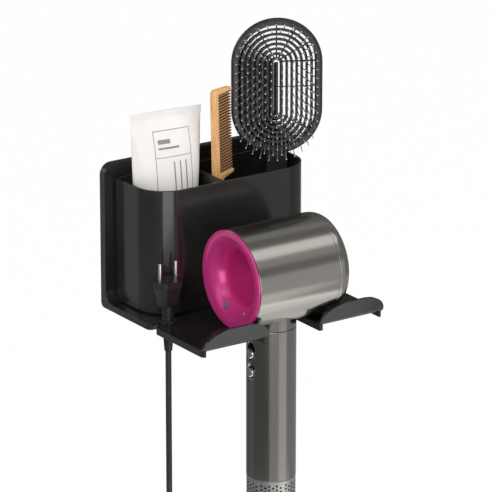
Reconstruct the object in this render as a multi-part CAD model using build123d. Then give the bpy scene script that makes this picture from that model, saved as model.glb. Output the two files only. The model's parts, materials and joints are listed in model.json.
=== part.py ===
import os
from math import cos, hypot, pi, radians, sin, sqrt, tan
from build123d import *

# Salon styling station, in millimetres. +X is to the right, the wall is the plane y = 0 and the
# station stands out of it along -Y. Everything is drawn above the shelf's top face, z = 0, and
# save() lowers it to the row's origin, the middle of the screw pattern on the wall plate.

# Wall bracket: one L-shaped moulded shell, open at the back and below
bracket_width = 159.0
bracket_height = 111.0
bracket_reach = 136.0
plate_depth = 6.5
plate_skin = 2.5
plate_corner = 9.0
shelf_depth = 5.0
shelf_skin = 2.2
bracket_rim = 3.0
bend_radius = 9.0
heel_radius = 4.0
foot_radius = 3.0
slot_width = 45.5

# Upturned lips at the ends of the two arms
lip_rise = 15.4
lip_lean = 23.0
lip_bend = 5.0
lip_skin = 2.0
lip_heel = 5.0
lip_shoulder = 22.0

# Screws in the wall plate
screw_spread_x = 84.0
screw_spread_z = 56.0
screw_hole = 4.6
screw_boss = 10.0

# Lead notch in the left edge of the shelf
notch_y = -69.0
notch_width = 6.6
notch_eye = 11.2
notch_eye_inset = 14.3
notch_flare = 4.0

# Caddy that hangs on two hooks in front of the plate
caddy_width = 142.0
caddy_front = 60.5
caddy_height = 95.3
caddy_wall = 2.0
caddy_corner = 25.0
caddy_back_corner = 3.0
caddy_heel = 1.5
divider_x = -9.5
divider_wall = 2.0
hook_spread = 44.0
hook_width = 9.0
hook_height = 72.0
hook_neck = 3.0
hook_tip = 4.5
hook_tip_wall = 1.8
caddy_lift = 7.0

# Clearances, and how far a cut runs past the face it opens
seat_gap = 0.3
fit_gap = 0.1
bearing_gap = 0.03
overrun = 1.0

# Dryer head: a tube that lies along X over the slot
head_radius = 37.4
head_y = -108.5
head_back = -37.2
head_length = 81.4
head_wall = 1.5
mouth_radius = 36.2
mouth_depth = 15.0
mouth_bevel = 1.3
bore_radius = 20.3
bore_wall = 1.5
funnel_rim = 1.7
funnel_spigot = 5.0
outlet_length = 9.5
outlet_land = 1.5
outlet_face = 33.4
outlet_slot = 2.2
heater_start = 24.0
heater_length = 20.0
board_start = 17.5
board_wall = 1.6
board_span = 150.0
rear_button_radius = 2.6
rear_button_spread = 11.3
rear_button_drop = 22.7
rear_button_proud = 0.5
rear_button_length = 4.2

# Dryer handle
handle_x = -1.0
handle_radius = 18.4
handle_wall = 1.2
handle_top = -3.2
handle_bottom = -120.0
collar_proud = 0.5
switch_z = -22.0
switch_radius = 4.0
switch_travel = 4.0
cool_z = -36.4
cool_radius = 3.9
control_proud = 1.6
control_gap = 0.6
control_shoulder = 1.0
control_shoulder_length = 2.0
control_root = 3.0
bezel_wall = 1.4
bezel_span = 56.0
bezel_margin = 5.0
duct_top = -50.0
duct_wall = 1.6
duct_legs = 3
duct_leg_width = 6.0
motor_top = -60.0
motor_length = 48.0
motor_radius = 13.0
motor_wall = 1.2
spider_wall = 3.0
spider_rib = 2.0
mount_height = 6.0
mount_inset = 8.0
bearing_radius = 4.5
bearing_seat = 1.5
shaft_radius = 2.0
rotor_radius = 8.0
rotor_length = 22.0
impeller_height = 7.0
impeller_lift = 1.0
impeller_hub = 4.6
impeller_blades = 9
impeller_gap = 0.4
blade_wall = 1.0
blade_pitch = 35.0

# Inlet at the foot of the handle
cage_length = 37.0
cage_radius = 18.2
cage_wall = 1.0
cage_blocks = 6
cage_columns = 3
cage_rows = 6
cage_hole = 2.6
cage_column_angle = 14.0
cage_margin = 4.5
mesh_radius = 15.4
mesh_wall = 0.6
end_plate_height = 3.0
gland_length = 28.0
gland_top_radius = 5.6
gland_end_radius = 3.0

# Mains lead and plug
cord_diameter = 4.5
coil_radius = 26.0
coil_section = 18.0
coil_z = -272.0
lead_drop = 20.5
tie_width = 8.0
tie_wall = 1.2
relief_collar = 1.5
relief_collar_radius = 6.8
relief_radius = 4.7
relief_tail = 22.0
relief_tail_radius = 2.9
relief_ribs = 4
relief_rib = 0.5
plug_foot = 13.8
plug_height = 18.8
plug_flange = 4.6
plug_flange_width = 24.0
plug_flange_depth = 17.0
plug_width = 18.6
plug_depth = 15.0
plug_foot_width = 15.3
plug_foot_depth = 12.3
plug_corner = 4.0
plug_point_depth = 5.1
plug_flange_corner = 2.0
pin_radius = 1.45
pin_length = 13.6
pin_spread = 13.6
pin_root = 3.0

# Paddle brush
brush_inset = 14.0
brush_y = -31.0
brush_turn = -28.0
brush_width = 68.0
brush_top = 202.2
brush_length = 104.0
brush_thickness = 6.0
brush_border = 4.8
brush_neck = 15.6
brush_neck_thickness = 8.0
brush_neck_corner = 7.3
brush_slots = 8
brush_slot = 1.7
brush_slot_pitch = 3.73
brush_pad_wall = 2.4
brush_pad_edge = 0.4
brush_bar = 1.8
brush_bar_reach = 18.0
brush_bar_depth = 1.2
bristle_length = 20.0
bristle_side = 0.9
bristle_pitch = 11.0
bristle_fan = 17.0

# Wooden comb
comb_inset = 8.3
comb_y = -38.0
comb_turn = 21.0
comb_lean = -2.1
comb_top = 159.5
comb_head = 70.0
comb_width = 22.0
comb_spine = 4.5
comb_thickness = 5.0
comb_guard = 3.2
comb_slant = 4.0
comb_round = 3.0
comb_teeth = 28
comb_tooth_share = 0.52
comb_handle_width = 9.0

# Squeeze tube that stands on its cap
tube_wall_gap = 0.8
tube_divider_gap = 1.7
tube_y = -28.8
tube_turn = -5.0
tube_top = 147.5
tube_crimp_flare = 3.0
tube_crimp_height = 6.0
tube_crimp_wall = 1.6
tube_lower_taper = 3.9
tube_lower_depth = 30.1
tube_upper_depth = 23.8
tube_top_depth = 3.1
tube_base_radius = 18.3
tube_shoulder = 4.0
tube_cap_radius = 16.5
tube_cap_height = 20.0
tube_neck_radius = 8.0
tube_neck_height = 9.0
tube_cap_wall = 1.6

# Sizes that follow from those above
half_width = bracket_width / 2
plate_top = bracket_height - shelf_depth
origin_drop = plate_top - bracket_height / 2
head_z = head_radius + seat_gap
head_front = head_back + head_length
shell_bore = head_radius - head_wall
sleeve_bore = handle_radius - handle_wall
cage_top = handle_bottom - seat_gap
cage_bottom = cage_top - cage_length
gland_end = cage_bottom - gland_length
notch_x = -half_width + notch_eye_inset
caddy_back = plate_depth + seat_gap
caddy_floor = seat_gap + caddy_wall
caddy_top = seat_gap + caddy_height
brush_x = caddy_width / 2 - brush_inset
comb_x = divider_x + comb_inset
tube_left = caddy_wall + tube_wall_gap - caddy_width / 2
tube_right = divider_x - divider_wall / 2 - tube_divider_gap
tube_x = (tube_left + tube_right) / 2
tube_body_width = tube_right - tube_left
cord_radius = cord_diameter / 2
turn_radius = coil_radius + coil_section / 2 - cord_radius


def save(node, *solids):
    # One STEP file for each node, with every piece a solid of its own
    os.makedirs("parts", exist_ok=True)
    placed = [Pos(0, 0, -origin_drop) * solid for shape in solids for solid in shape.solids()]
    export_step(placed[0] if len(placed) == 1 else Compound(children=placed), f"parts/{node}.step")


def side_face(*points):
    # A closed outline in the side view: the first value is y, the second z
    return make_face(Plane.YZ * Polyline(*points, close=True))


def upright(sketch, bottom, top):
    # A plan outline pulled up from one height to another
    return extrude(Pos(0, 0, bottom) * sketch, amount=top - bottom)


def around_head(*edges):
    # Turns a closed outline of (x, radius) edges about the head's axis
    section = Plane(origin=(0, head_y, head_z), x_dir=(1, 0, 0), z_dir=(0, -1, 0))
    return revolve(make_face(section * Wire(edges)), Axis((0, head_y, head_z), (1, 0, 0)))


def around_handle(*points):
    # Turns a closed outline of (radius, z) points about the handle's axis
    section = Plane(origin=(handle_x, head_y, 0), x_dir=(1, 0, 0), z_dir=(0, -1, 0))
    return revolve(make_face(section * Polyline(*points, close=True)), handle_axis())


def handle_axis():
    return Axis((handle_x, head_y, 0), (0, 0, 1))


def handle_tube(outer, inner, bottom, top):
    return around_handle((inner, bottom), (outer, bottom), (outer, top), (inner, top))


def slot_plan(grow):
    # The open-fronted U between the arms, drawn larger by grow on every side
    radius = slot_width / 2 + grow
    reach = bracket_reach + head_y + overrun
    throat = Pos(0, head_y) * Circle(radius)
    return throat + Pos(0, head_y - reach / 2) * Rectangle(2 * radius, reach)


def notch_plan(grow):
    # A keyhole that opens through the left edge, with a rounded mouth
    eye = Pos(notch_x, notch_y) * Circle(notch_eye / 2 + grow)
    run = notch_eye_inset + overrun
    neck = Pos(notch_x - run / 2, notch_y) * Rectangle(run, notch_width + 2 * grow)
    return eye + neck


def notch_mouth():
    cuts = Sketch()
    for side in (-1, 1):
        centre = (-half_width + notch_flare, notch_y + side * (notch_width / 2 + notch_flare))
        corner = Pos(-half_width + notch_flare / 2, notch_y + side * (notch_width + notch_flare) / 2)
        cuts += corner * Rectangle(notch_flare, notch_flare) - Pos(*centre) * Circle(notch_flare)
    return cuts


def bracket_shell():
    # The solid L with its bends and rounded corners, before it is hollowed
    profile = side_face(
        (0, -shelf_depth), (0, plate_top), (-plate_depth, plate_top), (-plate_depth, 0),
        (-bracket_reach, 0), (-bracket_reach, -shelf_depth),
    )
    shell = extrude(profile, amount=half_width, both=True)
    inner = shell.edges().filter_by(Axis.X).sort_by_distance((0, -plate_depth, 0))[0]
    heel = shell.edges().filter_by(Axis.X).sort_by_distance((0, 0, -shelf_depth))[0]
    shell = fillet(inner, bend_radius)
    shell = fillet(shell.edges().filter_by(Axis.X).sort_by_distance(heel.center())[0], heel_radius)
    top_corners = shell.edges().filter_by(Axis.Y).sort_by(Axis.Z)[-2:]
    shell = fillet(top_corners, plate_corner)
    feet = shell.edges().filter_by(Axis.Z).sort_by(Axis.Y)[:2]
    return fillet(feet, foot_radius)


def bracket_hollow():
    # The space behind the plate and under the shelf, less the ribs that edge the slot and the notch
    inside = half_width - bracket_rim
    behind = plate_skin - plate_depth
    below = -shelf_depth - overrun
    hollow = extrude(side_face(
        (overrun, below), (overrun, plate_top - bracket_rim), (behind, plate_top - bracket_rim),
        (behind, -shelf_skin), (-bracket_reach - overrun, -shelf_skin), (-bracket_reach - overrun, below),
    ), amount=inside, both=True)
    kept = slot_plan(bracket_rim) + notch_plan(bracket_rim)
    hollow -= upright(kept, below - overrun, 0)
    for x, z in screw_places():
        hollow -= Pos(x, behind / 2, z) * Rot(90) * Cylinder(screw_boss / 2, -behind)
    return hollow + arm_ends()


def arm_ends():
    # Room between the rims in front of each lip's bend
    width = (bracket_width - slot_width) / 2 - 2 * bracket_rim
    middle = (bracket_width + slot_width) / 4
    pair = GridLocations(2 * middle, 0, 2, 1)
    ends = Sketch() + Pos(0, lip_heel / 2 - bracket_reach) * pair * Rectangle(width, lip_heel)
    return upright(ends, -shelf_depth - overrun, overrun)


def screw_places():
    middle = plate_top - bracket_height / 2
    return [
        (x * screw_spread_x / 2, middle + z * screw_spread_z / 2) for x in (-1, 1) for z in (-1, 1)
    ]


def lip(centre_x):
    # A sheet bent up from the arm and leaning forwards, trimmed to a dome seen from the front
    lean = radians(lip_lean)
    width = (bracket_width - slot_width) / 2
    bend = (lip_heel - bracket_reach, lip_bend)
    outer = lip_bend + lip_skin
    length = lip_rise / cos(lean)
    toe_in = (bend[0] - lip_bend * cos(lean), bend[1] - lip_bend * sin(lean))
    toe_out = (bend[0] - outer * cos(lean), bend[1] - outer * sin(lean))
    tip_in = (toe_in[0] - sin(lean) * length, toe_in[1] + cos(lean) * length)
    tip_out = (toe_out[0] - sin(lean) * length, toe_out[1] + cos(lean) * length)
    root = bend[0] + lip_skin
    edges = [
        Line((root, -lip_skin), (root, 0)),
        Line((root, 0), (bend[0], 0)),
        CenterArc(bend, lip_bend, 270, lip_lean - 90),
        Line(toe_in, tip_in),
        Line(tip_in, tip_out),
        Line(tip_out, toe_out),
        CenterArc(bend, outer, 180 + lip_lean, 90 - lip_lean),
        Line((bend[0], -lip_skin), (root, -lip_skin)),
    ]
    sheet = extrude(make_face(Plane.YZ * Wire(edges)), amount=width / 2, both=True)
    dome = extrude(Plane.XZ * lip_outline(width), amount=2 * bracket_reach)
    return Pos(centre_x, 0, 0) * (sheet & dome)


def lip_outline(width):
    flat = width / 2 - lip_shoulder
    low = -shelf_depth
    edges = [
        Line((-width / 2, low), (width / 2, low)),
        Line((width / 2, low), (width / 2, 0)),
        EllipticalCenterArc((flat, 0), lip_shoulder, lip_rise, 0),
        Line((flat, lip_rise), (-flat, lip_rise)),
        EllipticalCenterArc((-flat, 0), lip_shoulder, lip_rise, 90),
        Line((-width / 2, 0), (-width / 2, low)),
    ]
    return make_face(Wire(edges))


def hook(x):
    # Neck through the caddy's back wall and an upturned tip inside it
    neck_end = -caddy_back - caddy_wall - seat_gap - hook_tip_wall
    neck = Pos(x, (neck_end - plate_depth) / 2, hook_height)
    body = neck * Box(hook_width, -neck_end - plate_depth, hook_neck)
    tip_y = neck_end + hook_tip_wall / 2
    tip_z = hook_height + hook_neck / 2 + hook_tip / 2
    return body + Pos(x, tip_y, tip_z) * Box(hook_width, hook_tip_wall, hook_tip)


def wall_bracket():
    part = bracket_shell() - bracket_hollow()
    part -= upright(slot_plan(0) + notch_plan(0) + notch_mouth(), -shelf_depth - overrun, overrun)
    for x, z in screw_places():
        part -= Pos(x, -plate_depth / 2, z) * Rot(90) * Cylinder(screw_hole / 2, 2 * plate_depth)
    arm_middle = (bracket_width + slot_width) / 4
    for side in (-1, 1):
        part += lip(side * arm_middle)
        part += hook(side * hook_spread / 2)
    return part


def caddy_plan(inset):
    # Footprint with large round corners at the front and small ones at the wall
    depth = caddy_front - caddy_back
    plan = Pos(0, -(caddy_front + caddy_back) / 2) * Rectangle(caddy_width, depth)
    front = plan.vertices().sort_by(Axis.Y)[:2]
    plan = fillet(front, caddy_corner)
    back = plan.vertices().sort_by(Axis.Y)[-2:]
    plan = fillet(back, caddy_back_corner)
    return offset(plan, -inset) if inset else plan


def caddy_block(inset):
    # The caddy's outline, rounded below at the back to clear the bracket's bend
    floor = seat_gap + inset
    back = -caddy_back - inset
    heel = bend_radius - seat_gap - inset
    block = upright(caddy_plan(inset), floor, caddy_top + inset)
    if inset < caddy_heel:
        block = fillet(block.faces().sort_by(Axis.Z)[0].edges(), caddy_heel - inset)
    centre = Pos(back - heel, floor + heel)
    corner = Pos(back - heel / 2 + overrun, floor + heel / 2 - overrun)
    edge = corner * Rectangle(heel + 2 * overrun, heel + 2 * overrun) - centre * Circle(heel)
    return block - extrude(Plane.YZ * edge, amount=caddy_width, both=True)


def caddy_body():
    shell = caddy_block(0) - caddy_block(caddy_wall)
    low = hook_height - hook_neck / 2 - caddy_lift - 2 * seat_gap
    high = hook_height + hook_neck / 2 + seat_gap
    for side in (-1, 1):
        window = Box(hook_width + 4 * seat_gap, 3 * caddy_wall, high - low)
        shell -= Pos(side * hook_spread / 2, -caddy_back - caddy_wall / 2, (low + high) / 2) * window
    return shell


def caddy_divider():
    # Panel across the caddy, level with its rim
    panel = Pos(divider_x, 0, caddy_top - caddy_height) * Box(divider_wall, 4 * caddy_front, 2 * caddy_height)
    return panel & caddy_block(caddy_wall + fit_gap)


def head_shell():
    start = head_back + funnel_rim
    end = head_front - outlet_length
    tube = around_head(*Polyline(
        (start, shell_bore), (end, shell_bore), (end, head_radius), (start, head_radius), close=True
    ).edges())
    neck = Pos(handle_x, head_y, 0) * Cylinder(sleeve_bore, head_radius)
    return tube - neck


def rear_funnel():
    # Bell mouth, the spigot that seats in the shell, and the bore that runs through the head
    back = head_back
    bell = mouth_radius - bore_radius
    spigot = shell_bore - fit_gap
    end = head_front - outlet_length / 4
    edges = [
        EllipticalCenterArc((back + mouth_depth, mouth_radius), mouth_depth, bell, 180),
        Line((back + mouth_depth, bore_radius), (end, bore_radius)),
        Line((end, bore_radius), (end, bore_radius + bore_wall)),
        Line((end, bore_radius + bore_wall), (back + mouth_depth, bore_radius + bore_wall)),
        EllipticalCenterArc(
            (back + mouth_depth, mouth_radius - bore_wall), mouth_depth - funnel_rim - 1,
            bell - 2 * bore_wall, 180,
        ),
        Line((back + funnel_rim + 1, mouth_radius - bore_wall), (back + funnel_rim + funnel_spigot,
             mouth_radius - bore_wall)),
        Line((back + funnel_rim + funnel_spigot, mouth_radius - bore_wall),
             (back + funnel_rim + funnel_spigot, spigot)),
        Line((back + funnel_rim + funnel_spigot, spigot), (back + funnel_rim, spigot)),
        Line((back + funnel_rim, spigot), (back + funnel_rim, head_radius - fit_gap)),
        Line((back + funnel_rim, head_radius - fit_gap), (back + mouth_bevel, head_radius - fit_gap)),
        Line((back + mouth_bevel, head_radius - fit_gap), (back, mouth_radius)),
    ]
    funnel = around_head(*edges)
    for side in (-1, 1):
        funnel -= rear_button_hole(side)
    return funnel


def rear_button_place(side):
    # Where a button meets the bell, and the way it is pressed: square to the surface
    radius = hypot(rear_button_spread, rear_button_drop)
    bell = mouth_radius - bore_radius
    rise = (mouth_radius - radius) / bell
    depth = mouth_depth * (1 - sqrt(1 - rise * rise))
    along = (mouth_depth - depth) / mouth_depth ** 2
    outward = (mouth_radius - radius) / bell ** 2
    size = hypot(along, outward)
    spoke = (side * rear_button_spread / radius, -rear_button_drop / radius)
    spot = Vector(head_back + depth, head_y + side * rear_button_spread, head_z - rear_button_drop)
    press = Vector(along / size, outward / size * spoke[0], outward / size * spoke[1])
    return spot, press


def rear_button_hole(side):
    spot, press = rear_button_place(side)
    mouth = Plane(origin=spot, z_dir=press)
    return mouth * Cylinder(rear_button_radius + 2 * fit_gap, 6 * bore_wall)


def rear_button(side):
    spot, press = rear_button_place(side)
    cap = Plane(origin=spot - press * rear_button_proud, z_dir=press)
    stem = Cylinder(rear_button_radius, rear_button_length, align=(Align.CENTER, Align.CENTER, Align.MIN))
    return cap * chamfer(stem.edges().group_by(Axis.Z)[0], rear_button_proud)


def outlet_ring():
    # End ring with a tapered nose, an annular air slot and a spigot inside the shell
    start = head_front - outlet_length
    spigot = shell_bore - fit_gap
    lip_radius = bore_radius + bore_wall + outlet_slot
    nose = head_front - head_wall
    return around_head(
        Line((start, head_radius), (start + outlet_land, head_radius)),
        EllipticalCenterArc((start + outlet_land, outlet_face), outlet_length - outlet_land,
                            head_radius - outlet_face, 0),
        Line((head_front, outlet_face), (head_front, lip_radius)),
        Line((head_front, lip_radius), (nose, lip_radius)),
        Line((nose, lip_radius), (nose, outlet_face)),
        Line((nose, outlet_face), (start, spigot - head_wall)),
        Line((start, spigot - head_wall), (start - outlet_length / 2, spigot - head_wall)),
        Line((start - outlet_length / 2, spigot - head_wall), (start - outlet_length / 2, spigot)),
        Line((start - outlet_length / 2, spigot), (start, spigot)),
        Line((start, spigot), (start, head_radius)),
    )


def heater_ring():
    start = head_back + heater_start
    end = start + heater_length
    inner = bore_radius + bore_wall + fit_gap
    outer = shell_bore - fit_gap
    section = Polyline((start, inner), (end, inner), (end, outer), (start, outer), close=True)
    return around_head(*section.edges())


def control_board():
    # A C-shaped circuit board round the bore, behind the two rear buttons
    start = head_back + board_start
    inner = bore_radius + bore_wall + fit_gap
    outer = shell_bore - fit_gap
    section = Plane(origin=(0, head_y, head_z), x_dir=(1, 0, 0), z_dir=(0, -1, 0))
    profile = section * Polyline(
        (start, -inner), (start + board_wall, -inner), (start + board_wall, -outer), (start, -outer),
        close=True,
    )
    axis = Axis((0, head_y, head_z), (1, 0, 0))
    left = revolve(make_face(profile), axis, board_span / 2)
    return left + revolve(make_face(profile), axis, -board_span / 2)


def neck_collar():
    # Ring under the head, cut to the head's curve
    ring = handle_tube(handle_radius + collar_proud, sleeve_bore, handle_top + seat_gap, head_radius / 2)
    room = Pos(0, head_y, head_z) * Rot(0, 90) * Cylinder(head_radius + fit_gap, 4 * head_radius)
    return ring - room


def control_cut(radius, low, high):
    # A stadium-shaped hole from the handle's axis out through its left side
    outline = Pos(0, (low + high) / 2) * SlotOverall(high - low + 2 * radius, 2 * radius, rotation=90) \
        if high > low else Pos(0, low) * Circle(radius)
    side = Plane(origin=(handle_x, head_y, 0), x_dir=(0, -1, 0), z_dir=(-1, 0, 0))
    return extrude(side * outline, amount=2 * handle_radius)


def handle_sleeve():
    tube = handle_tube(handle_radius, sleeve_bore, handle_bottom, handle_top)
    tube -= control_cut(switch_radius + control_gap, switch_z, switch_z + switch_travel)
    return tube - control_cut(cool_radius + control_gap, cool_z, cool_z)


def switch_bezel():
    # Curved guide plate inside the sleeve, with a close hole for each control
    outer = sleeve_bore - fit_gap
    top = switch_z + switch_travel + switch_radius + bezel_margin
    low = cool_z - cool_radius - bezel_margin
    ring = handle_tube(outer, outer - bezel_wall, low, top)
    reach = 2 * handle_radius
    wedge = make_face(Polyline((0, 0), (-reach, reach * tan(radians(bezel_span / 2))),
                               (-reach, -reach * tan(radians(bezel_span / 2))), close=True))
    plate = ring & upright(Pos(handle_x, head_y) * wedge, low, top)
    plate -= control_cut(switch_radius + 2 * fit_gap, switch_z, switch_z + switch_travel)
    return plate - control_cut(cool_radius + 2 * fit_gap, cool_z, cool_z)


def control_button(radius, z):
    # Domed metal button with a shoulder behind the guide plate
    reach = handle_radius + control_proud
    root = sleeve_bore - bezel_wall - control_root
    body = Cylinder(radius, reach - root, align=(Align.CENTER, Align.CENTER, Align.MIN))
    body = fillet(body.edges().group_by(Axis.Z)[-1], control_proud * 0.9)
    shoulder = Cylinder(radius + control_shoulder, control_shoulder_length,
                        align=(Align.CENTER, Align.CENTER, Align.MIN))
    side = Plane(origin=(handle_x - root, head_y, z), z_dir=(-1, 0, 0))
    return side * (body + shoulder)


def handle_duct():
    # Liner that carries the motor and, on three legs, the plate at the foot
    outer = sleeve_bore - fit_gap
    liner = handle_tube(outer, outer - duct_wall, handle_bottom, duct_top)
    legs = handle_tube(mesh_radius - mesh_wall - fit_gap, mesh_radius - mesh_wall - duct_wall,
                       cage_bottom + end_plate_height, handle_bottom)
    cross = Sketch()
    for number in range(duct_legs):
        turn = 90 + 360 / duct_legs * number
        cross += Rot(0, 0, turn) * Pos(mesh_radius / 2 + overrun, 0) * Rectangle(mesh_radius, duct_leg_width)
    legs &= upright(Pos(handle_x, head_y) * cross, cage_bottom, handle_bottom)
    step = handle_tube(outer, mesh_radius - mesh_wall - duct_wall, handle_bottom, handle_bottom + duct_wall)
    return liner + legs + step


def motor_housing():
    low = motor_top - motor_length
    bore = bearing_radius + bearing_gap
    body = handle_tube(motor_radius, motor_radius - motor_wall, low, motor_top)
    for base in (low, motor_top - spider_wall):
        body += handle_tube(bore + bearing_seat, bore, base, base + spider_wall)
        root = bore + bearing_seat / 2
        rib_length = motor_radius - motor_wall / 2 - root
        for turn in (0, 120, 240):
            rib = Pos(root + rib_length / 2, 0, base + spider_wall / 2)
            rib *= Box(rib_length, spider_rib, spider_wall)
            body += Pos(handle_x, head_y) * Rot(0, 0, turn) * rib
    return body


def motor_bearings():
    low = motor_top - motor_length
    return [
        handle_tube(bearing_radius, shaft_radius + bearing_gap, base, base + spider_wall)
        for base in (low, motor_top - spider_wall)
    ]


def motor_mounts():
    # Two soft rings between the motor and the liner
    outer = sleeve_bore - 2 * fit_gap - duct_wall
    low = motor_top - motor_length + mount_inset
    high = motor_top - mount_inset - mount_height
    return [handle_tube(outer, motor_radius + fit_gap, z, z + mount_height) for z in (low, high)]


def motor_shaft():
    # Shaft with its magnet rotor in one piece
    low = motor_top - motor_length - seat_gap
    middle = motor_top - motor_length / 2 + impeller_height / 2
    shaft = handle_tube_solid(shaft_radius, low, motor_top + seat_gap)
    return shaft + handle_tube_solid(rotor_radius, middle - rotor_length / 2, middle + rotor_length / 2)


def handle_tube_solid(radius, bottom, top):
    return Pos(handle_x, head_y, (bottom + top) / 2) * Cylinder(radius, top - bottom)


def impeller():
    # Hub and pitched blades just above the lower spider
    low = motor_top - motor_length + spider_wall + impeller_lift
    tip = motor_radius - motor_wall - impeller_gap
    wheel = handle_tube_solid(impeller_hub, low, low + impeller_height)
    middle = Pos(handle_x, head_y, low + impeller_height / 2)
    span = tip - impeller_hub + overrun
    for number in range(impeller_blades):
        turn = 360 * number / impeller_blades
        blade = Rot(blade_pitch) * Box(span, blade_wall, impeller_height)
        wheel += middle * Rot(0, 0, turn) * Pos(tip - span / 2) * blade
    wheel &= handle_tube_solid(tip, low, low + impeller_height)
    return wheel - handle_tube_solid(shaft_radius, low - overrun, low + impeller_height + overrun)


def filter_cage():
    # Pull-off sleeve with staggered holes in blocks round its side
    cage = handle_tube(cage_radius, cage_radius - cage_wall, cage_bottom, cage_top)
    pitch = (cage_length - 2 * cage_margin) / (cage_rows - 0.5)
    punches = []
    for block in range(cage_blocks):
        for column in range(cage_columns):
            turn = 360 / cage_blocks * block + cage_column_angle * (column - (cage_columns - 1) / 2)
            shift = pitch / 2 * (column % 2)
            for row in range(cage_rows):
                z = cage_bottom + cage_margin + shift + pitch * row
                punch = Pos(cage_radius, 0, z) * Rot(45) * Box(4 * cage_wall, cage_hole, cage_hole)
                punches.append(Pos(handle_x, head_y) * Rot(0, 0, turn) * punch)
    return cage - punches


def filter_mesh():
    return handle_tube(mesh_radius, mesh_radius - mesh_wall, cage_bottom + end_plate_height, handle_bottom)


def handle_end_plate():
    outer = cage_radius - cage_wall - seat_gap
    return handle_tube(outer, gland_top_radius - 1, cage_bottom, cage_bottom + end_plate_height)


def cord_gland():
    # Tapered sleeve moulded round the lead, with its head in the end plate
    root = gland_top_radius - 1 - fit_gap
    return around_handle(
        (0, gland_end), (gland_end_radius, gland_end), (gland_top_radius, cage_bottom - 2),
        (gland_top_radius, cage_bottom - fit_gap), (root, cage_bottom - fit_gap),
        (root, cage_bottom + end_plate_height), (0, cage_bottom + end_plate_height),
    )


def plug_point():
    return (notch_x, notch_y)


def coil_direction():
    # Plan direction from the plug's lead to the handle's lead; the coil hangs in that plane
    reach = Vector(handle_x - notch_x, head_y - notch_y, 0)
    return reach.normalized()


def coil_centre():
    return Vector(notch_x, notch_y, coil_z) + coil_direction() * turn_radius


def coil_plane():
    # Local x runs from one lead to the other, local y is up
    along = coil_direction()
    return Plane(origin=coil_centre(), x_dir=along, z_dir=along.cross(Vector(0, 0, 1)))


def coil_landing():
    # Height at which both leads run into the bundle, in line with its outermost turn
    return coil_z + coil_section / 2


def cord_coil():
    # Outer shape of the whole bundle of turns, with a pocket where each lead runs in
    plane = coil_plane()
    ring = extrude(plane * (Circle(coil_radius + coil_section / 2) - Circle(coil_radius - coil_section / 2)),
                   amount=coil_section / 2, both=True)
    ring = chamfer(ring.edges(), coil_section / 5)
    for side in (-1, 1):
        foot = coil_centre() + coil_direction() * (side * turn_radius)
        pocket = Cylinder(cord_radius + seat_gap, coil_section, align=(Align.CENTER, Align.CENTER, Align.MIN))
        ring -= Pos(foot.X, foot.Y, coil_landing()) * pocket
    return ring


def cord_tie():
    # Strap round the top of the bundle
    plane = coil_plane()
    side = coil_section + 4 * seat_gap
    outer = Box(tie_width, side + 2 * tie_wall, side + 2 * tie_wall)
    return plane * Pos(0, coil_radius) * (outer - Box(2 * tie_width, side, side))


def lead(points):
    # A round lead along straight runs and tangent arcs as large as the runs allow
    radii = []
    for before, here, after in zip(points, points[1:], points[2:]):
        arriving = here - before
        leaving = after - here
        half_turn = radians(arriving.get_angle(leaving)) / 2
        radii.append(0.45 * min(arriving.length, leaving.length) / tan(half_turn))
    path = FilletPolyline(*points, radius=radii)
    start = Plane(origin=points[0], z_dir=points[1] - points[0])
    tube = sweep(start * Circle(cord_radius), path=path)
    share = tube.volume / (pi * cord_radius ** 2 * path.length)
    print("lead", [round(r, 1) for r in radii], "length", round(path.length, 1), "volume", round(share, 4))
    return tube


def cord_plug_lead():
    # Hangs straight from the plug and joins the coil's left side
    top = -relief_tail
    low = coil_landing()
    return Pos(notch_x, notch_y, (top + low) / 2) * Cylinder(cord_radius, top - low)


def dryer_route():
    # Down from the gland, across to the coil's right side and down into it
    top = Vector(handle_x, head_y, gland_end)
    foot = coil_centre() + coil_direction() * turn_radius
    return [
        top,
        top - Vector(0, 0, lead_drop),
        Vector(foot.X, foot.Y, coil_landing() + lead_drop),
        Vector(foot.X, foot.Y, coil_landing()),
    ]


def cord_dryer_lead():
    return lead(dryer_route())


def plug_relief():
    # Collar that stands on the shelf, ribs above it and a tapered tail down through the notch
    ribs = []
    pitch = (plug_foot - relief_collar - seat_gap) / relief_ribs
    base = seat_gap + relief_collar
    for number in range(relief_ribs):
        z = base + pitch * number
        ribs += [(relief_radius - relief_rib, z), (relief_radius - relief_rib, z + pitch * 0.4),
                 (relief_radius, z + pitch * 0.4), (relief_radius, z + pitch)]
    points = [(0, -relief_tail), (relief_tail_radius, -relief_tail), (relief_radius, 0)]
    points += [(relief_radius, seat_gap), (relief_collar_radius, seat_gap), (relief_collar_radius, base)]
    points += ribs + [(0, plug_foot)]
    section = Plane(origin=(*plug_point(), 0), x_dir=(1, 0, 0), z_dir=(0, -1, 0))
    return revolve(make_face(section * Polyline(*points, close=True)), Axis((*plug_point(), 0), (0, 0, 1)))


def plug_body():
    # Tapered grip that widens into a six-sided face plate
    top = plug_foot + plug_height
    shoulder = top - plug_flange
    low = RectangleRounded(plug_foot_width, plug_foot_depth, plug_corner)
    high = RectangleRounded(plug_width, plug_depth, plug_corner)
    grip = loft([Pos(0, 0, plug_foot) * low, Pos(0, 0, shoulder) * high])
    half = (plug_flange_width / 2, plug_flange_depth / 2)
    flat = half[0] - plug_point_depth
    outline = Polyline((-half[0], 0), (-flat, half[1]), (flat, half[1]), (half[0], 0), (flat, -half[1]),
                       (-flat, -half[1]), close=True)
    plate = upright(fillet(make_face(outline).vertices(), plug_flange_corner), shoulder, top)
    return Pos(*plug_point()) * (grip + plate - plug_pins_at_origin())


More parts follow.
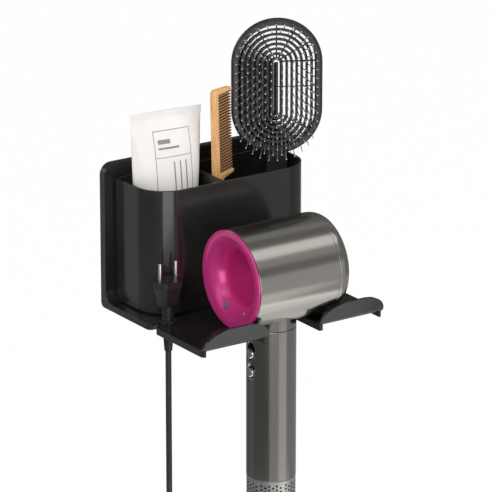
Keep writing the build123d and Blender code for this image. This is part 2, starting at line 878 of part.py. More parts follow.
def plug_pins_at_origin():
    top = plug_foot + plug_height
    pins = []
    for side in (-1, 1):
        pin = Cylinder(pin_radius, pin_length + pin_root, align=(Align.CENTER, Align.CENTER, Align.MIN))
        pin = fillet(pin.edges().group_by(Axis.Z)[-1], pin_radius * 0.6)
        pins.append(Pos(side * pin_spread / 2, 0, top - pin_root) * pin)
    return pins


def plug_pins():
    return [Pos(*plug_point()) * pin for pin in plug_pins_at_origin()]


def brush_plane():
    # Upright plane through the middle of the brush head: local x across, local y up, local z to the front
    turn = radians(brush_turn)
    across = Vector(cos(turn), sin(turn), 0)
    return Plane(origin=(brush_x, brush_y, brush_middle()), x_dir=across, z_dir=across.cross(Vector(0, 0, 1)))


def brush_middle():
    return brush_top - brush_length / 2


def oval(half, thickness_low, thickness_high):
    # A tall oval of the given half width, as deep as asked
    straight = brush_length - brush_width
    outline = SlotOverall(straight + 2 * half, 2 * half, rotation=90)
    return extrude(Pos(0, 0, thickness_low) * outline, amount=thickness_high - thickness_low)


def brush_frame():
    # Border of the head, neck and the handle that stands on the caddy floor
    half = brush_width / 2
    border = oval(half, -brush_thickness / 2, brush_thickness / 2)
    border = fillet(border.edges(), brush_thickness / 3)
    border -= oval(half - brush_border, -brush_thickness, brush_thickness)
    low = caddy_floor + seat_gap - brush_middle()
    high = brush_border / 2 - brush_length / 2
    grip = extrude(Pos(0, 0, -brush_neck_thickness / 2) * Pos(0, (low + high) / 2) *
                   RectangleRounded(brush_neck, high - low, brush_neck_corner), amount=brush_neck_thickness)
    rims = grip.edges().group_by(Axis.Z)
    grip = fillet(rims[0] + rims[-1], brush_neck_thickness / 3)
    join = Pos(0, high, 0) * Box(brush_neck, brush_border, brush_thickness * 0.8)
    return brush_plane() * (border + grip + join)


def slot_middle(number):
    # Half width of the middle line of one of the concentric slots
    edge = brush_width / 2 - brush_border - fit_gap - brush_pad_edge
    return edge - brush_slot / 2 - brush_slot_pitch * number


def brush_pad():
    # Vented plate: concentric oval slots, held together by bars behind
    half = brush_width / 2 - brush_border - fit_gap
    pad = oval(half, -brush_pad_wall / 2, brush_pad_wall / 2)
    for number in range(brush_slots):
        middle = slot_middle(number)
        cut = oval(middle + brush_slot / 2, -brush_pad_wall, brush_pad_wall)
        if middle > brush_slot:
            cut -= oval(middle - brush_slot / 2, -brush_pad_wall, brush_pad_wall)
        pad -= cut
    straight = brush_length - brush_width
    bars = Sketch()
    reach = straight / 2 + brush_bar_reach
    for y in (-reach, -straight / 2, 0, straight / 2, reach):
        bars += Pos(0, y) * Rectangle(2 * half, brush_bar)
    bars += Rectangle(brush_bar, straight + 2 * half)
    backing = extrude(Pos(0, 0, fit_gap - brush_pad_wall / 2) * bars, amount=-brush_bar_depth)
    return brush_plane() * (pad + (backing & oval(half, -2 * brush_pad_wall, brush_pad_wall)))


def bristle_places():
    # Evenly round each land between two slots
    straight = (brush_length - brush_width) / 2
    places = []
    for number in range(brush_slots - 1):
        radius = slot_middle(number) - brush_slot_pitch / 2
        round_end = pi * radius
        count = round((4 * straight + 2 * round_end) / bristle_pitch)
        for step in range(count):
            along = (step + 0.5 * (number % 2)) / count * (4 * straight + 2 * round_end)
            places.append(oval_point(radius, straight, along))
    return places


def oval_point(radius, straight, along):
    # The point that lies so far along an upright oval, from the foot of its right side
    side = 2 * straight
    bend = pi * radius
    if along < side:
        return radius, along - straight
    if along < side + bend:
        angle = (along - side) / radius
        return radius * cos(angle), straight + radius * sin(angle)
    x, y = oval_point(radius, straight, along - side - bend)
    return -x, -y


def brush_bristles():
    half = brush_width / 2
    lift = bristle_side / 2 * sin(radians(bristle_fan))
    bristles = []
    for x, y in bristle_places():
        tilt = bristle_fan * x / half
        drop = bristle_fan * y / (brush_length / 2)
        pin = Box(bristle_side, bristle_side, bristle_length, align=(Align.CENTER, Align.CENTER, Align.MIN))
        bristles.append(brush_plane() * Pos(x, y, brush_pad_wall / 2 + lift) * Rot(-drop, tilt) * pin)
    return bristles


def comb_plane():
    # Local x runs from the spine to the teeth's points, local y up the comb
    turn = Rot(0, 0, comb_turn)
    return Plane(Location((comb_x, comb_y, 0)) * turn * Rot(90) * Rot(0, 0, -comb_lean))


def wooden_comb():
    # Spine, slanted guards above and below the teeth, and a handle that stands on the caddy floor
    top = comb_top
    low = top - comb_head
    root = comb_spine - fit_gap
    outline = Polyline((0, low), (0, top), (comb_width, top - comb_slant), (comb_width, low + comb_slant / 2),
                       (comb_handle_width, low), close=True)
    blank = make_face(outline)
    blank = fillet(blank.vertices().sort_by(Axis.Y)[-2:], comb_round)
    first = low + comb_slant / 2 + comb_guard
    last = top - comb_slant - comb_guard
    pitch = (last - first) / comb_teeth
    gap = pitch * (1 - comb_tooth_share)
    middle = (root + comb_width + overrun) / 2
    for number in range(comb_teeth):
        y = first + pitch * (number + 0.5)
        blank -= Pos(middle, y) * Rectangle(comb_width + overrun - root, gap)
    foot = caddy_floor + seat_gap + comb_handle_width / 2 * sin(radians(-comb_lean))
    handle = Pos(comb_handle_width / 2, (foot + low) / 2) * RectangleRounded(
        comb_handle_width, low - foot + 2 * comb_round, comb_round)
    handle = Pos(0, comb_round) * handle
    solid = extrude(blank + handle, amount=comb_thickness / 2, both=True)
    return comb_plane() * solid


def tube_section(width, depth, z):
    return Pos(0, 0, z) * Ellipse(width / 2, depth / 2)


def tube_body():
    # Lofts from a round shoulder to a flat end with a crimp
    base = caddy_floor + seat_gap + tube_cap_height + seat_gap
    crimp = tube_top - tube_crimp_height
    third = (crimp - base) / 3
    sections = [
        tube_section(2 * tube_base_radius, 2 * tube_base_radius, base + tube_shoulder),
        tube_section(tube_body_width - 2 * tube_lower_taper, tube_lower_depth, base + third),
        tube_section(tube_body_width, tube_upper_depth, crimp - third),
        tube_section(tube_body_width + tube_crimp_wall, tube_top_depth, crimp),
    ]
    body = loft(sections)
    shoulder = Pos(0, 0, base) * Cylinder(
        tube_base_radius, tube_shoulder, align=(Align.CENTER, Align.CENTER, Align.MIN))
    shoulder = chamfer(shoulder.edges().group_by(Axis.Z)[0], tube_shoulder - overrun)
    neck_low = base - tube_neck_height
    neck = Pos(0, 0, neck_low) * Cylinder(tube_neck_radius, tube_neck_height + overrun,
                                          align=(Align.CENTER, Align.CENTER, Align.MIN))
    seal = Pos(0, 0, crimp + tube_crimp_height / 2) * Box(
        tube_body_width + 2 * tube_crimp_flare, tube_crimp_wall, tube_crimp_height)
    return tube_place() * (body + shoulder + neck + seal)


def tube_place():
    return Pos(tube_x, tube_y) * Rot(0, 0, tube_turn)


def tube_cap():
    # Screw cap below the tube, hollow round its neck
    low = caddy_floor + seat_gap
    cap = Cylinder(tube_cap_radius, tube_cap_height, align=(Align.CENTER, Align.CENTER, Align.MIN))
    cap = chamfer(cap.edges().group_by(Axis.Z)[0], tube_cap_wall)
    depth = tube_neck_height + 2 * seat_gap
    well = Pos(0, 0, tube_cap_height - depth) * Cylinder(
        tube_neck_radius + fit_gap, 2 * depth, align=(Align.CENTER, Align.CENTER, Align.MIN))
    return tube_place() * Pos(0, 0, low) * (cap - well)


save("wall_bracket", wall_bracket())
save("caddy_body", caddy_body())
save("caddy_divider", caddy_divider())
save("head_shell", head_shell())
save("rear_funnel", rear_funnel())
save("outlet_ring", outlet_ring())
save("heater_ring", heater_ring())
save("control_board", control_board())
save("speed_button", rear_button(-1))
save("heat_button", rear_button(1))
save("neck_collar", neck_collar())
save("handle_sleeve", handle_sleeve())
save("switch_bezel", switch_bezel())
save("power_switch", control_button(switch_radius, switch_z))
save("cool_shot_button", control_button(cool_radius, cool_z))
save("handle_duct", handle_duct())
save("motor_housing", motor_housing())
save("motor_bearings", *motor_bearings())
save("motor_mounts", *motor_mounts())
save("motor_shaft", motor_shaft())
save("impeller", impeller())
save("filter_cage", filter_cage())
save("filter_mesh", filter_mesh())
save("handle_end_plate", handle_end_plate())
save("cord_gland", cord_gland())
save("cord_dryer_lead", cord_dryer_lead())
save("cord_coil", cord_coil())
save("cord_tie", cord_tie())
save("cord_plug_lead", cord_plug_lead())
save("plug_relief", plug_relief())
save("plug_body", plug_body())
save("plug_pins", *plug_pins())
save("brush_frame", brush_frame())
save("brush_pad", brush_pad())
save("brush_bristles", *brush_bristles())
save("wooden_comb", wooden_comb())
save("tube_body", tube_body())
save("tube_cap", tube_cap())
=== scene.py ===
import json
import math
import random
from functools import partial

import bmesh
import bpy
from mathutils import Matrix, Vector


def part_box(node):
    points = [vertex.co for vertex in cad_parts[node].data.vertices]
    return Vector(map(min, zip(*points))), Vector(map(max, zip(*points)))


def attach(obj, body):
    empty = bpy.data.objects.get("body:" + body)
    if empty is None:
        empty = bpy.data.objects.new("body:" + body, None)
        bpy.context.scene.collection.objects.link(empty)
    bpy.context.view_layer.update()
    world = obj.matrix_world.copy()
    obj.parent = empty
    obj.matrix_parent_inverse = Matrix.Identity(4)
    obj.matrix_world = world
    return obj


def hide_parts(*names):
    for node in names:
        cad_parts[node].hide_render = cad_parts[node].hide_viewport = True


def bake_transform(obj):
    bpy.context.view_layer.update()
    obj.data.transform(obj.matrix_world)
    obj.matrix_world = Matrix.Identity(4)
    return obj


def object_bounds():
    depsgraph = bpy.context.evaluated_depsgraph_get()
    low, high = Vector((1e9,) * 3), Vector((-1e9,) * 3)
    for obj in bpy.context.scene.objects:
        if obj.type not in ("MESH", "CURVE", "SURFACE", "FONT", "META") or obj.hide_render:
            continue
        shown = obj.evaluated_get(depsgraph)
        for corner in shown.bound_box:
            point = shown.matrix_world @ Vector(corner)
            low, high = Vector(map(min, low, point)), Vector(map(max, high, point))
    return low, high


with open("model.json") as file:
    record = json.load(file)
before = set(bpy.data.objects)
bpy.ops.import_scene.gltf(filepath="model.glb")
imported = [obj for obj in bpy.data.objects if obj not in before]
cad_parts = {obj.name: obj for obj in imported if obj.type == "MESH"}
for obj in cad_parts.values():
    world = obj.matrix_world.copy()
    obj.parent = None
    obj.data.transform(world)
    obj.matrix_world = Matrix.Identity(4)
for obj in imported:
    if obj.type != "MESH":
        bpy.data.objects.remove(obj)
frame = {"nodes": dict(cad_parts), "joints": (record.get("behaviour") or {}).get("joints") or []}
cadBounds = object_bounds()
mm = 0.001


def linearColour(hexText):
    # sRGB hex to the linear values that shaders take
    channels = [int(hexText[i:i + 2], 16) / 255 for i in (1, 3, 5)]
    return [c / 12.92 if c <= 0.04045 else ((c + 0.055) / 1.055) ** 2.4 for c in channels] + [1.0]


def addNode(tree, kind, inputs=(), **settings):
    # Adds a node, sets its properties, then fills or links its inputs
    node = tree.nodes.new(kind)
    for name, value in settings.items():
        setattr(node, name, value)
    for key, value in dict(inputs).items():
        if isinstance(value, bpy.types.NodeSocket):
            tree.links.new(value, node.inputs[key])
        else:
            node.inputs[key].default_value = value
    return node


def newMaterial(name):
    made = bpy.data.materials.new(name)
    made.use_nodes = True
    made.node_tree.nodes.clear()
    return made, made.node_tree


def closeMaterial(made, tree, shader):
    addNode(tree, "ShaderNodeOutputMaterial", {"Surface": shader.outputs[0]})
    return made


def combine(tree, operation, first, second=0.0):
    return addNode(tree, "ShaderNodeMath", {0: first, 1: second}, operation=operation).outputs[0]


def objectFrom(name, mesh, material, sharpAngle=32):
    # Smooth faces, with the edges past sharpAngle kept crisp
    piece = bpy.data.objects.new(name, mesh)
    bpy.context.scene.collection.objects.link(piece)
    mesh.materials.clear()
    mesh.materials.append(material)
    for face in mesh.polygons:
        face.use_smooth = True
    mesh.set_sharp_from_angle(angle=math.radians(sharpAngle))
    return piece


def meshFrom(name, bm, recalc=True):
    if recalc:
        bmesh.ops.recalc_face_normals(bm, faces=bm.faces)
    mesh = bpy.data.meshes.new(name)
    bm.to_mesh(mesh)
    bm.free()
    return mesh


def skin(bm, rings, looped=False):
    # Faces from ring to ring of points, with both ends capped unless the last ring meets the first
    rings = [[bm.verts.new(point) for point in ring] for ring in rings]
    for ring, after in zip(rings, rings[1:] + (rings[:1] if looped else [])):
        for n, here in enumerate(ring):
            m = (n + 1) % len(ring)
            bm.faces.new((here, ring[m], after[m], after[n]))
    if not looped:
        bm.faces.new(list(reversed(rings[0])))
        bm.faces.new(rings[-1])


def skinned(name, rings, material, sharpAngle=32, looped=False):
    bm = bmesh.new()
    skin(bm, rings, looped)
    return objectFrom(name, meshFrom(name, bm), material, sharpAngle)


def solidified(piece):
    # The piece with its modifiers applied, as a plain mesh under its own name
    bpy.context.view_layer.update()
    whole = piece.evaluated_get(bpy.context.evaluated_depsgraph_get())
    mesh = bpy.data.meshes.new_from_object(whole)
    piece.modifiers.clear()
    piece.data = mesh
    mesh.name = piece.name
    return piece


def bevelled(piece, width, segments=2, angle=35):
    # Small rounded edges
    cut = piece.modifiers.new("edgeBreak", "BEVEL")
    cut.width = width
    cut.segments = segments
    cut.limit_method = "ANGLE"
    cut.angle_limit = math.radians(angle)
    even = piece.modifiers.new("evenShading", "WEIGHTED_NORMAL")
    even.weight = 100
    even.keep_sharp = True
    return piece


def cutOut(piece, cutters):
    # Takes the cutters' shapes out of the piece and removes them
    for cutter in cutters:
        cut = piece.modifiers.new("opening", "BOOLEAN")
        cut.operation = "DIFFERENCE"
        cut.object = cutter
        cut.solver = "EXACT"
    solidified(piece)
    for cutter in cutters:
        bpy.data.objects.remove(cutter)


def supported(outline, margin=0.2 * mm, least=6):
    # Extra points near both ends of each long side keep its shading straight
    made = []
    for here, there in zip(outline, outline[1:] + outline[:1]):
        made.append(here)
        length = math.dist(here, there)
        if length > least * margin:
            for share in (margin / length, 1 - margin / length):
                made.append(tuple(a + (b - a) * share for a, b in zip(here, there)))
    return made


def lathe(name, outline, centre, axis, material, steps=160, sharpAngle=32, merge=1e-6, sliver=1e-7):
    # Turns a closed outline of (along, radius) points about an axis through centre
    outline = supported(outline)
    along = Vector(axis).normalized()
    side = Vector((0, 0, 1)) if abs(along.z) < 0.9 else Vector((1, 0, 0))
    other = along.cross(side)
    rings = []
    for step in range(steps):
        angle = 2 * math.pi * step / steps
        out = side * math.cos(angle) + other * math.sin(angle)
        rings.append([Vector(centre) + along * a + out * r for a, r in outline])
    bm = bmesh.new()
    skin(bm, rings, looped=True)
    bmesh.ops.remove_doubles(bm, verts=bm.verts, dist=merge)
    bmesh.ops.dissolve_degenerate(bm, dist=sliver, edges=bm.edges)
    return objectFrom(name, meshFrom(name, bm), material, sharpAngle)


def arcPoints(centre, radii, start, end, steps):
    # Points of an ellipse from one angle to another, in degrees; a single radius makes a circle
    wide, tall = radii if isinstance(radii, tuple) else (radii, radii)
    made = []
    for k in range(steps + 1):
        angle = math.radians(start + (end - start) * k / steps)
        made.append((centre[0] + wide * math.cos(angle), centre[1] + tall * math.sin(angle)))
    return made


def sleeveOutline(low, high, inner, outer, edge, between=()):
    # Section of a plain sleeve with both outer edges rounded
    outline = [(low, inner)] + arcPoints((low + edge, outer - edge), edge, 180, 90, 3) + list(between)
    return outline + arcPoints((high - edge, outer - edge), edge, 90, 0, 3) + [(high, inner)]


def cadCopy(node, name, material, sharpAngle=32, merge=2e-6, flat=0.6):
    # The CAD solid as one merged mesh
    bm = bmesh.new()
    bm.from_mesh(frame["nodes"][node].data)
    bmesh.ops.remove_doubles(bm, verts=bm.verts, dist=merge)
    bmesh.ops.dissolve_limit(bm, angle_limit=math.radians(flat), verts=bm.verts, edges=bm.edges)
    return objectFrom(name, meshFrom(name, bm, recalc=False), material, sharpAngle)


def spanOf(node):
    # A node's low and high corners, and the middle between them at height 0
    low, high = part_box(node)
    return low, high, Vector(((low.x + high.x) / 2, (low.y + high.y) / 2, 0))


def jointOf(name):
    return next(joint for joint in frame["joints"] if joint["name"] == name)


def place(piece, body, slot, *nodes):
    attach(piece, body)
    if nodes:
        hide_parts(*nodes)
    return piece


# Camera, white surroundings, softboxes and the dark cards that metal and gloss reflect
shot = {"azimuth": -34.248, "elevation": 18.595, "lens": 292.68, "distance": 2.9537, "farthest": 30,
        "aim": (0.009638, -0.060, -0.008679)}
studio = {"worldGrey": "#b4b4b6", "floorTint": "#f4f4f2", "floorDrop": 40 * mm, "floorSide": 6.0,
          "floorWhite": 0.985, "boardLift": 6 * mm, "boardStep": 15}


def placeCamera():
    turn, tilt = math.radians(shot["azimuth"]), math.radians(shot["elevation"])
    back = Vector((math.sin(turn) * math.cos(tilt), -math.cos(turn) * math.cos(tilt), math.sin(tilt)))
    camera = bpy.data.objects.new("camera", bpy.data.cameras.new("camera"))
    bpy.context.scene.collection.objects.link(camera)
    camera.data.lens = shot["lens"]
    camera.data.clip_end = shot["farthest"]
    camera.location = Vector(shot["aim"]) + back * shot["distance"]
    camera.rotation_mode = "QUATERNION"
    camera.rotation_quaternion = (-back).to_track_quat("-Z", "Y")
    bpy.context.scene.camera = camera
    bpy.context.scene.view_settings.view_transform = "Standard"


def seenWhite(tree):
    # 1 for the rays that show the background: camera, glossy and transmission
    path = addNode(tree, "ShaderNodeLightPath").outputs
    first = combine(tree, "MAXIMUM", path["Is Camera Ray"], path["Is Glossy Ray"])
    return combine(tree, "MAXIMUM", first, path["Is Transmission Ray"])


def mixedShader(tree, share, first, second):
    return addNode(tree, "ShaderNodeMixShader", {0: share, 1: first.outputs[0], 2: second.outputs[0]})


def makeWorld():
    world = bpy.data.worlds.new("studio")
    bpy.context.scene.world = world
    world.use_nodes = True
    tree = world.node_tree
    tree.nodes.clear()
    soft = addNode(tree, "ShaderNodeBackground", {"Color": linearColour(studio["worldGrey"])})
    white = addNode(tree, "ShaderNodeBackground", {"Color": (1, 1, 1, 1)})
    mix = mixedShader(tree, seenWhite(tree), soft, white)
    addNode(tree, "ShaderNodeOutputWorld", {"Surface": mix.outputs[0]})


def makeFloor():
    # Pale floor below the lowest point; it still takes a faint shadow
    made, tree = newMaterial("paleFloor")
    matt = addNode(tree, "ShaderNodeBsdfDiffuse", {"Color": linearColour(studio["floorTint"])})
    white = addNode(tree, "ShaderNodeEmission", {"Color": (1, 1, 1, 1)})
    share = combine(tree, "MULTIPLY", seenWhite(tree), studio["floorWhite"])
    closeMaterial(made, tree, mixedShader(tree, share, matt, white))
    half = studio["floorSide"] / 2
    low = cadBounds[0][2] - studio["floorDrop"]
    corners = [(-half, -half, low), (half, -half, low), (half, half, low), (-half, half, low)]
    bm = bmesh.new()
    bm.faces.new([bm.verts.new(corner) for corner in corners])
    objectFrom("floor", meshFrom("floor", bm, recalc=False), made)


# Each lamp: where it stands, what it points at, its width and height, power in watts
lamps = {
    "keyBox": ((1.35, -1.0, 1.75), (0, -0.08, 0), 0.9, 0.55, 22),
    "fillBox": ((-1.7, -1.9, 0.9), (0, -0.06, 0), 1.2, 1.2, 17),
    "leftBox": ((-1.3, -0.8, 1.2), (-0.03, -0.11, -0.01), 0.5, 0.5, 11),
    "rightBox": ((1.7, -0.9, -0.25), (0, -0.1, -0.12), 0.5, 1.0, 8),
}


def makeLamps():
    for name, (spot, aim, width, height, power) in lamps.items():
        lamp = bpy.data.lights.new(name, "AREA")
        lamp.shape = "RECTANGLE"
        lamp.size, lamp.size_y = width, height
        lamp.energy = power
        box = bpy.data.objects.new(name, lamp)
        bpy.context.scene.collection.objects.link(box)
        box.location = spot
        box.rotation_mode = "QUATERNION"
        box.rotation_quaternion = (Vector(aim) - Vector(spot)).to_track_quat("-Z", "Y")
        box.visible_glossy = False


# Boards that gloss and metal mirror, never seen by the camera. Long ones run along the station's width,
# from one angle above the front horizon to the next, between two x, with how bright they look
longReach = 1.6
longBoards = {
    "upperFrontLow": (10, 30, -2.4, 2.2, 0.19),
    "upperFrontHigh": (30, 49, -2.4, 2.2, 0.36),
    "overhead": (50, 71, -0.4, 2.0, 1.0),
    "roofFront": (73, 97, -2.4, 2.2, 0.16),
    "roofMiddle": (97, 116, -2.4, 2.2, 0.28),
    "roofBack": (116, 152, -2.4, 2.2, 0.16),
    "backUpper": (152, 190, 0.2, 2.4, 0.08),
}
# Upright ones stand round the handle's axis: their reach, from one bearing to the next, clockwise from
# the front seen from above, between two heights
ringBoards = {
    "leftSide": (1.1, -214, -150, -0.39, 0.2, 0.17),
    "leftEdge": (1.1, -150, -132, -0.39, 0.2, 0.36),
    "leftFront": (1.1, -132, -64, -0.39, 0.2, 0.17),
    "frontLeft": (1.1, -64, 20, -0.39, 0.2, 0.26),
    "frontRight": (1.1, 20, 50, -0.39, 0.2, 0.44),
    "rightSide": (1.1, 50, 125, -0.39, 0.9, 0.20),
    "cornerBright": (0.4, -50, -10, -0.13, 0.12, 2.4),
    "handleBack": (0.35, -214, -140, -0.315, -0.15, 0.14),
    "handleGlint": (0.35, -140, -122, -0.315, -0.15, 0.24),
    "handleDark": (0.35, -122, -43, -0.315, -0.15, 0.12),
    "handleStep": (0.35, -43, 0, -0.315, -0.15, 0.42),
    "handleBright": (0.35, 0, 38, -0.315, -0.15, 0.78),
    "handleRight": (0.35, 38, 146, -0.315, -0.15, 0.36),
    "cageLeft": (0.35, -214, -43, -0.39, -0.315, 0.28),
    "cageMiddle": (0.35, -43, -6, -0.39, -0.315, 0.6),
    "cageRight": (0.35, -6, 60, -0.39, -0.315, 1.2),
    "cageBack": (0.35, 60, 146, -0.39, -0.315, 0.36),
}
# Flat ones lie just above the floor: bearings again, then nearest and farthest reach
flatBoards = {
    "leftFloor": (-214, -29, 0.95, 1.1, 0.2),
    "frontFloor": (-29, 125, 0.8, 1.1, 0.40),
    "headUnder": (62, 146, 0.15, 0.36, 0.72),
    "lipUnder": (20, 62, 0.15, 0.36, 0.95),
}
ringMiddle = Vector((-1 * mm, -108.5 * mm, 0))


def boardFrom(name, rails, level):
    # A strip between pairs of points, seen in reflections only
    made, tree = newMaterial(name + "Glow")
    closeMaterial(made, tree, addNode(tree, "ShaderNodeEmission", {"Color": (level, level, level, 1)}))
    bm = bmesh.new()
    pairs = [[bm.verts.new(point) for point in rail] for rail in rails]
    for here, there in zip(pairs, pairs[1:]):
        bm.faces.new((here[0], there[0], there[1], here[1]))
    board = objectFrom(name, meshFrom(name, bm, recalc=False), made)
    for ray in ("camera", "diffuse", "shadow", "transmission"):
        setattr(board, "visible_" + ray, False)


def bearings(first, last):
    # Level directions from one bearing to another
    steps = math.ceil((last - first) / studio["boardStep"])
    turns = [math.radians(first + (last - first) * k / steps) for k in range(steps + 1)]
    return [Vector((math.sin(turn), -math.cos(turn), 0)) for turn in turns]


def makeBoards():
    for name, (first, last, left, right, level) in longBoards.items():
        turns = [math.radians(angle) for angle in (first, last)]
        spots = [(-longReach * math.cos(turn), longReach * math.sin(turn)) for turn in turns]
        boardFrom(name, [[(left, *spot), (right, *spot)] for spot in spots], level)
    for name, (reach, first, last, low, high, level) in ringBoards.items():
        feet = [ringMiddle + way * reach for way in bearings(first, last)]
        boardFrom(name, [[foot + Vector((0, 0, z)) for z in (low, high)] for foot in feet], level)
    lift = Vector((0, 0, cadBounds[0][2] - studio["floorDrop"] + studio["boardLift"]))
    for name, (first, last, near, far, level) in flatBoards.items():
        ways = bearings(first, last)
        boardFrom(name, [[ringMiddle + way * reach + lift for reach in (near, far)] for way in ways], level)


placeCamera()
makeWorld()
makeFloor()
makeLamps()
makeBoards()
print("studio set")


# Finishes
def newFinish(name):
    made, tree = newMaterial(name)
    return made, tree, addNode(tree, "ShaderNodeTexCoord").outputs["Object"]


def closeFinish(made, tree, sockets):
    return closeMaterial(made, tree, addNode(tree, "ShaderNodeBsdfPrincipled", sockets))


def noise(tree, coords, size, detail, **more):
    # Noise with grains of that size in millimetres
    sockets = {"Vector": coords, "Scale": 1 / (size * mm), "Detail": detail, **more}
    return addNode(tree, "ShaderNodeTexNoise", sockets).outputs["Fac"]


def ranged(tree, value, first, last, low=0.0, high=1.0):
    # Carries values between first and last over to values between low and high
    sockets = {"Value": value, "From Min": first, "From Max": last, "To Min": low, "To Max": high}
    return addNode(tree, "ShaderNodeMapRange", sockets).outputs["Result"]


def varied(tree, coords, size, low, high, detail=2.0):
    # A value that drifts between low and high over patches of that size in millimetres
    return ranged(tree, noise(tree, coords, size, detail), 0.3, 0.7, low, high)


def bumped(tree, height, depth, strength=1.0):
    # Relief of that depth in millimetres
    sockets = {"Height": height, "Distance": depth * mm, "Strength": strength}
    return addNode(tree, "ShaderNodeBump", sockets).outputs[0]


def stretched(tree, coords, scale):
    return addNode(tree, "ShaderNodeMapping", {"Vector": coords, "Scale": scale}).outputs[0]


def blendColour(tree, factor, first, second):
    # Mixes two colours, each a hex text or another node's output
    first, second = [linearColour(c) if isinstance(c, str) else c for c in (first, second)]
    return addNode(tree, "ShaderNodeMix", {0: factor, 6: first, 7: second}, data_type="RGBA").outputs[2]


def mouldedPlastic(name, dark, light, roughness, grain=0.35, depth=0.006, ior=1.53, patch=30.0,
                   glossPatch=9.0, details=(2.0, 4.0)):
    # Injection-moulded ABS or nylon: even colour, a spark-eroded skin and slightly uneven gloss
    made, tree, coords = newFinish(name)
    tone = varied(tree, coords, patch, 0.0, 1.0, details[0])
    return closeFinish(made, tree, {
        "Base Color": blendColour(tree, tone, dark, light), "IOR": ior,
        "Roughness": varied(tree, coords, glossPatch, *roughness, details[1]),
        "Normal": bumped(tree, noise(tree, coords, grain, 3.0), depth)})


def rubber(name, dark, light, roughness, grain=0.5):
    # Flexible PVC or moulded rubber: soft sheen, faint mottling, slightly pebbled
    return mouldedPlastic(name, dark, light, roughness, grain, depth=0.01, ior=1.5, patch=8.0,
                          glossPatch=3.0, details=(4.0, 2.0))


def brushedMetal(name, dark, light, roughness, direction, line=0.4, depth=0.0003):
    # Brushed metal: fine lines along one direction
    made, tree, coords = newFinish(name)
    lined = stretched(tree, coords, [0.012 if axis else 1.0 for axis in direction])
    lines = noise(tree, lined, line, 4.0, Roughness=0.7)
    tone = ranged(tree, lines, 0.25, 0.75)
    return closeFinish(made, tree, {
        "Base Color": blendColour(tree, tone, dark, light), "Metallic": 1.0,
        "Roughness": ranged(tree, lines, 0.25, 0.75, *roughness), "Normal": bumped(tree, lines, depth)})


def plainMetal(name, dark, light, roughness, patch=6.0):
    # Turned or plated metal with faint handling marks in its gloss
    made, tree, coords = newFinish(name)
    tone = varied(tree, coords, patch, 0.0, 1.0, 4.0)
    return closeFinish(made, tree, {
        "Base Color": blendColour(tree, tone, dark, light), "Metallic": 1.0,
        "Roughness": varied(tree, coords, patch / 3, *roughness, 5.0)})


def lacquer(name, dark, light):
    # Metallic magenta lacquer under clear coat: deep colour with a pale, wet highlight
    made, tree, coords = newFinish(name)
    flake = addNode(tree, "ShaderNodeTexVoronoi", {"Vector": coords, "Scale": 1 / (0.12 * mm)})
    tone = ranged(tree, flake.outputs["Distance"], 0.0, 0.9)
    return closeFinish(made, tree, {
        "Base Color": blendColour(tree, tone, light, dark), "Metallic": 0.35,
        "Roughness": varied(tree, coords, 12.0, 0.30, 0.38), "Coat Weight": 0.7, "Coat Roughness": 0.12})


def oiledBeech(name, pale, deep, pore):
    # Oiled beech: straight grain along the comb, short darker flecks, satin
    made, tree, coords = newFinish(name)
    grain = noise(tree, stretched(tree, coords, (1, 1, 0.05)), 1.1, 6.0, Distortion=0.4)
    fleck = noise(tree, stretched(tree, coords, (1, 1, 0.16)), 0.35, 2.0)
    base = blendColour(tree, ranged(tree, grain, 0.3, 0.72), pale, deep)
    return closeFinish(made, tree, {
        "Base Color": blendColour(tree, ranged(tree, fleck, 0.60, 0.70), base, pore),
        "Roughness": 0.5, "IOR": 1.5, "Normal": bumped(tree, grain, 0.02, 0.6)})


def whiteLaminate(name):
    # Soft white laminate tube: smooth, slightly dented by handling, gentle sheen
    made, tree, coords = newFinish(name)
    return closeFinish(made, tree, {
        "Base Color": blendColour(tree, varied(tree, coords, 25.0, 0.0, 1.0), "#e8e5e1", "#efece9"),
        "Roughness": varied(tree, coords, 10.0, 0.36, 0.46), "IOR": 1.5,
        "Normal": bumped(tree, noise(tree, coords, 14, 2.0), 0.25, 0.5)})


charcoalAbs = mouldedPlastic("charcoalAbs", "#1c1b1a", "#232220", (0.13, 0.19), depth=0.0015, ior=1.6)
brushedNickel = brushedMetal("brushedNickel", "#bbb7b0", "#c2beb7", (0.17, 0.22), (1, 0, 0))
satinGunmetal = brushedMetal("satinGunmetal", "#9b9893", "#a4a19c", (0.17, 0.22), (0, 0, 1))
magentaLacquer = lacquer("magentaLacquer", "#c42a7a", "#de4093")
plumSeal = mouldedPlastic("plumSeal", "#2c1630", "#3a2040", (0.25, 0.35))
polishedSteel = plainMetal("polishedSteel", "#c4c4c4", "#dcdcdc", (0.12, 0.2))
satinSilver = plainMetal("satinSilver", "#bdbbb8", "#d2d0cc", (0.28, 0.36))
brightNickelPlate = plainMetal("brightNickelPlate", "#cfccc6", "#e2dfda", (0.1, 0.16))
turnedAluminium = plainMetal("turnedAluminium", "#b4b5b6", "#c8c9ca", (0.3, 0.42))
groundSteel = plainMetal("groundSteel", "#8e8f90", "#a4a5a6", (0.2, 0.3))
darkMesh = plainMetal("darkMesh", "#2e2d2c", "#4a4947", (0.4, 0.55), patch=1.2)
blackNylon = mouldedPlastic("blackNylon", "#171717", "#1f1f1f", (0.42, 0.52))
heaterMica = mouldedPlastic("heaterMica", "#8d8269", "#a5997d", (0.5, 0.65), grain=1.2, depth=0.03,
                            ior=1.56, patch=5.0)
boardGreen = mouldedPlastic("boardGreen", "#174a2b", "#1f5c37", (0.35, 0.45), grain=0.8, depth=0.01,
                            ior=1.5, patch=4.0)
cordPvc = rubber("cordPvc", "#252422", "#2f2e2b", (0.36, 0.48))
plugPvc = rubber("plugPvc", "#1d1d1d", "#282828", (0.28, 0.4), grain=0.35)
softRubber = rubber("softRubber", "#202020", "#2a2a2a", (0.6, 0.75))
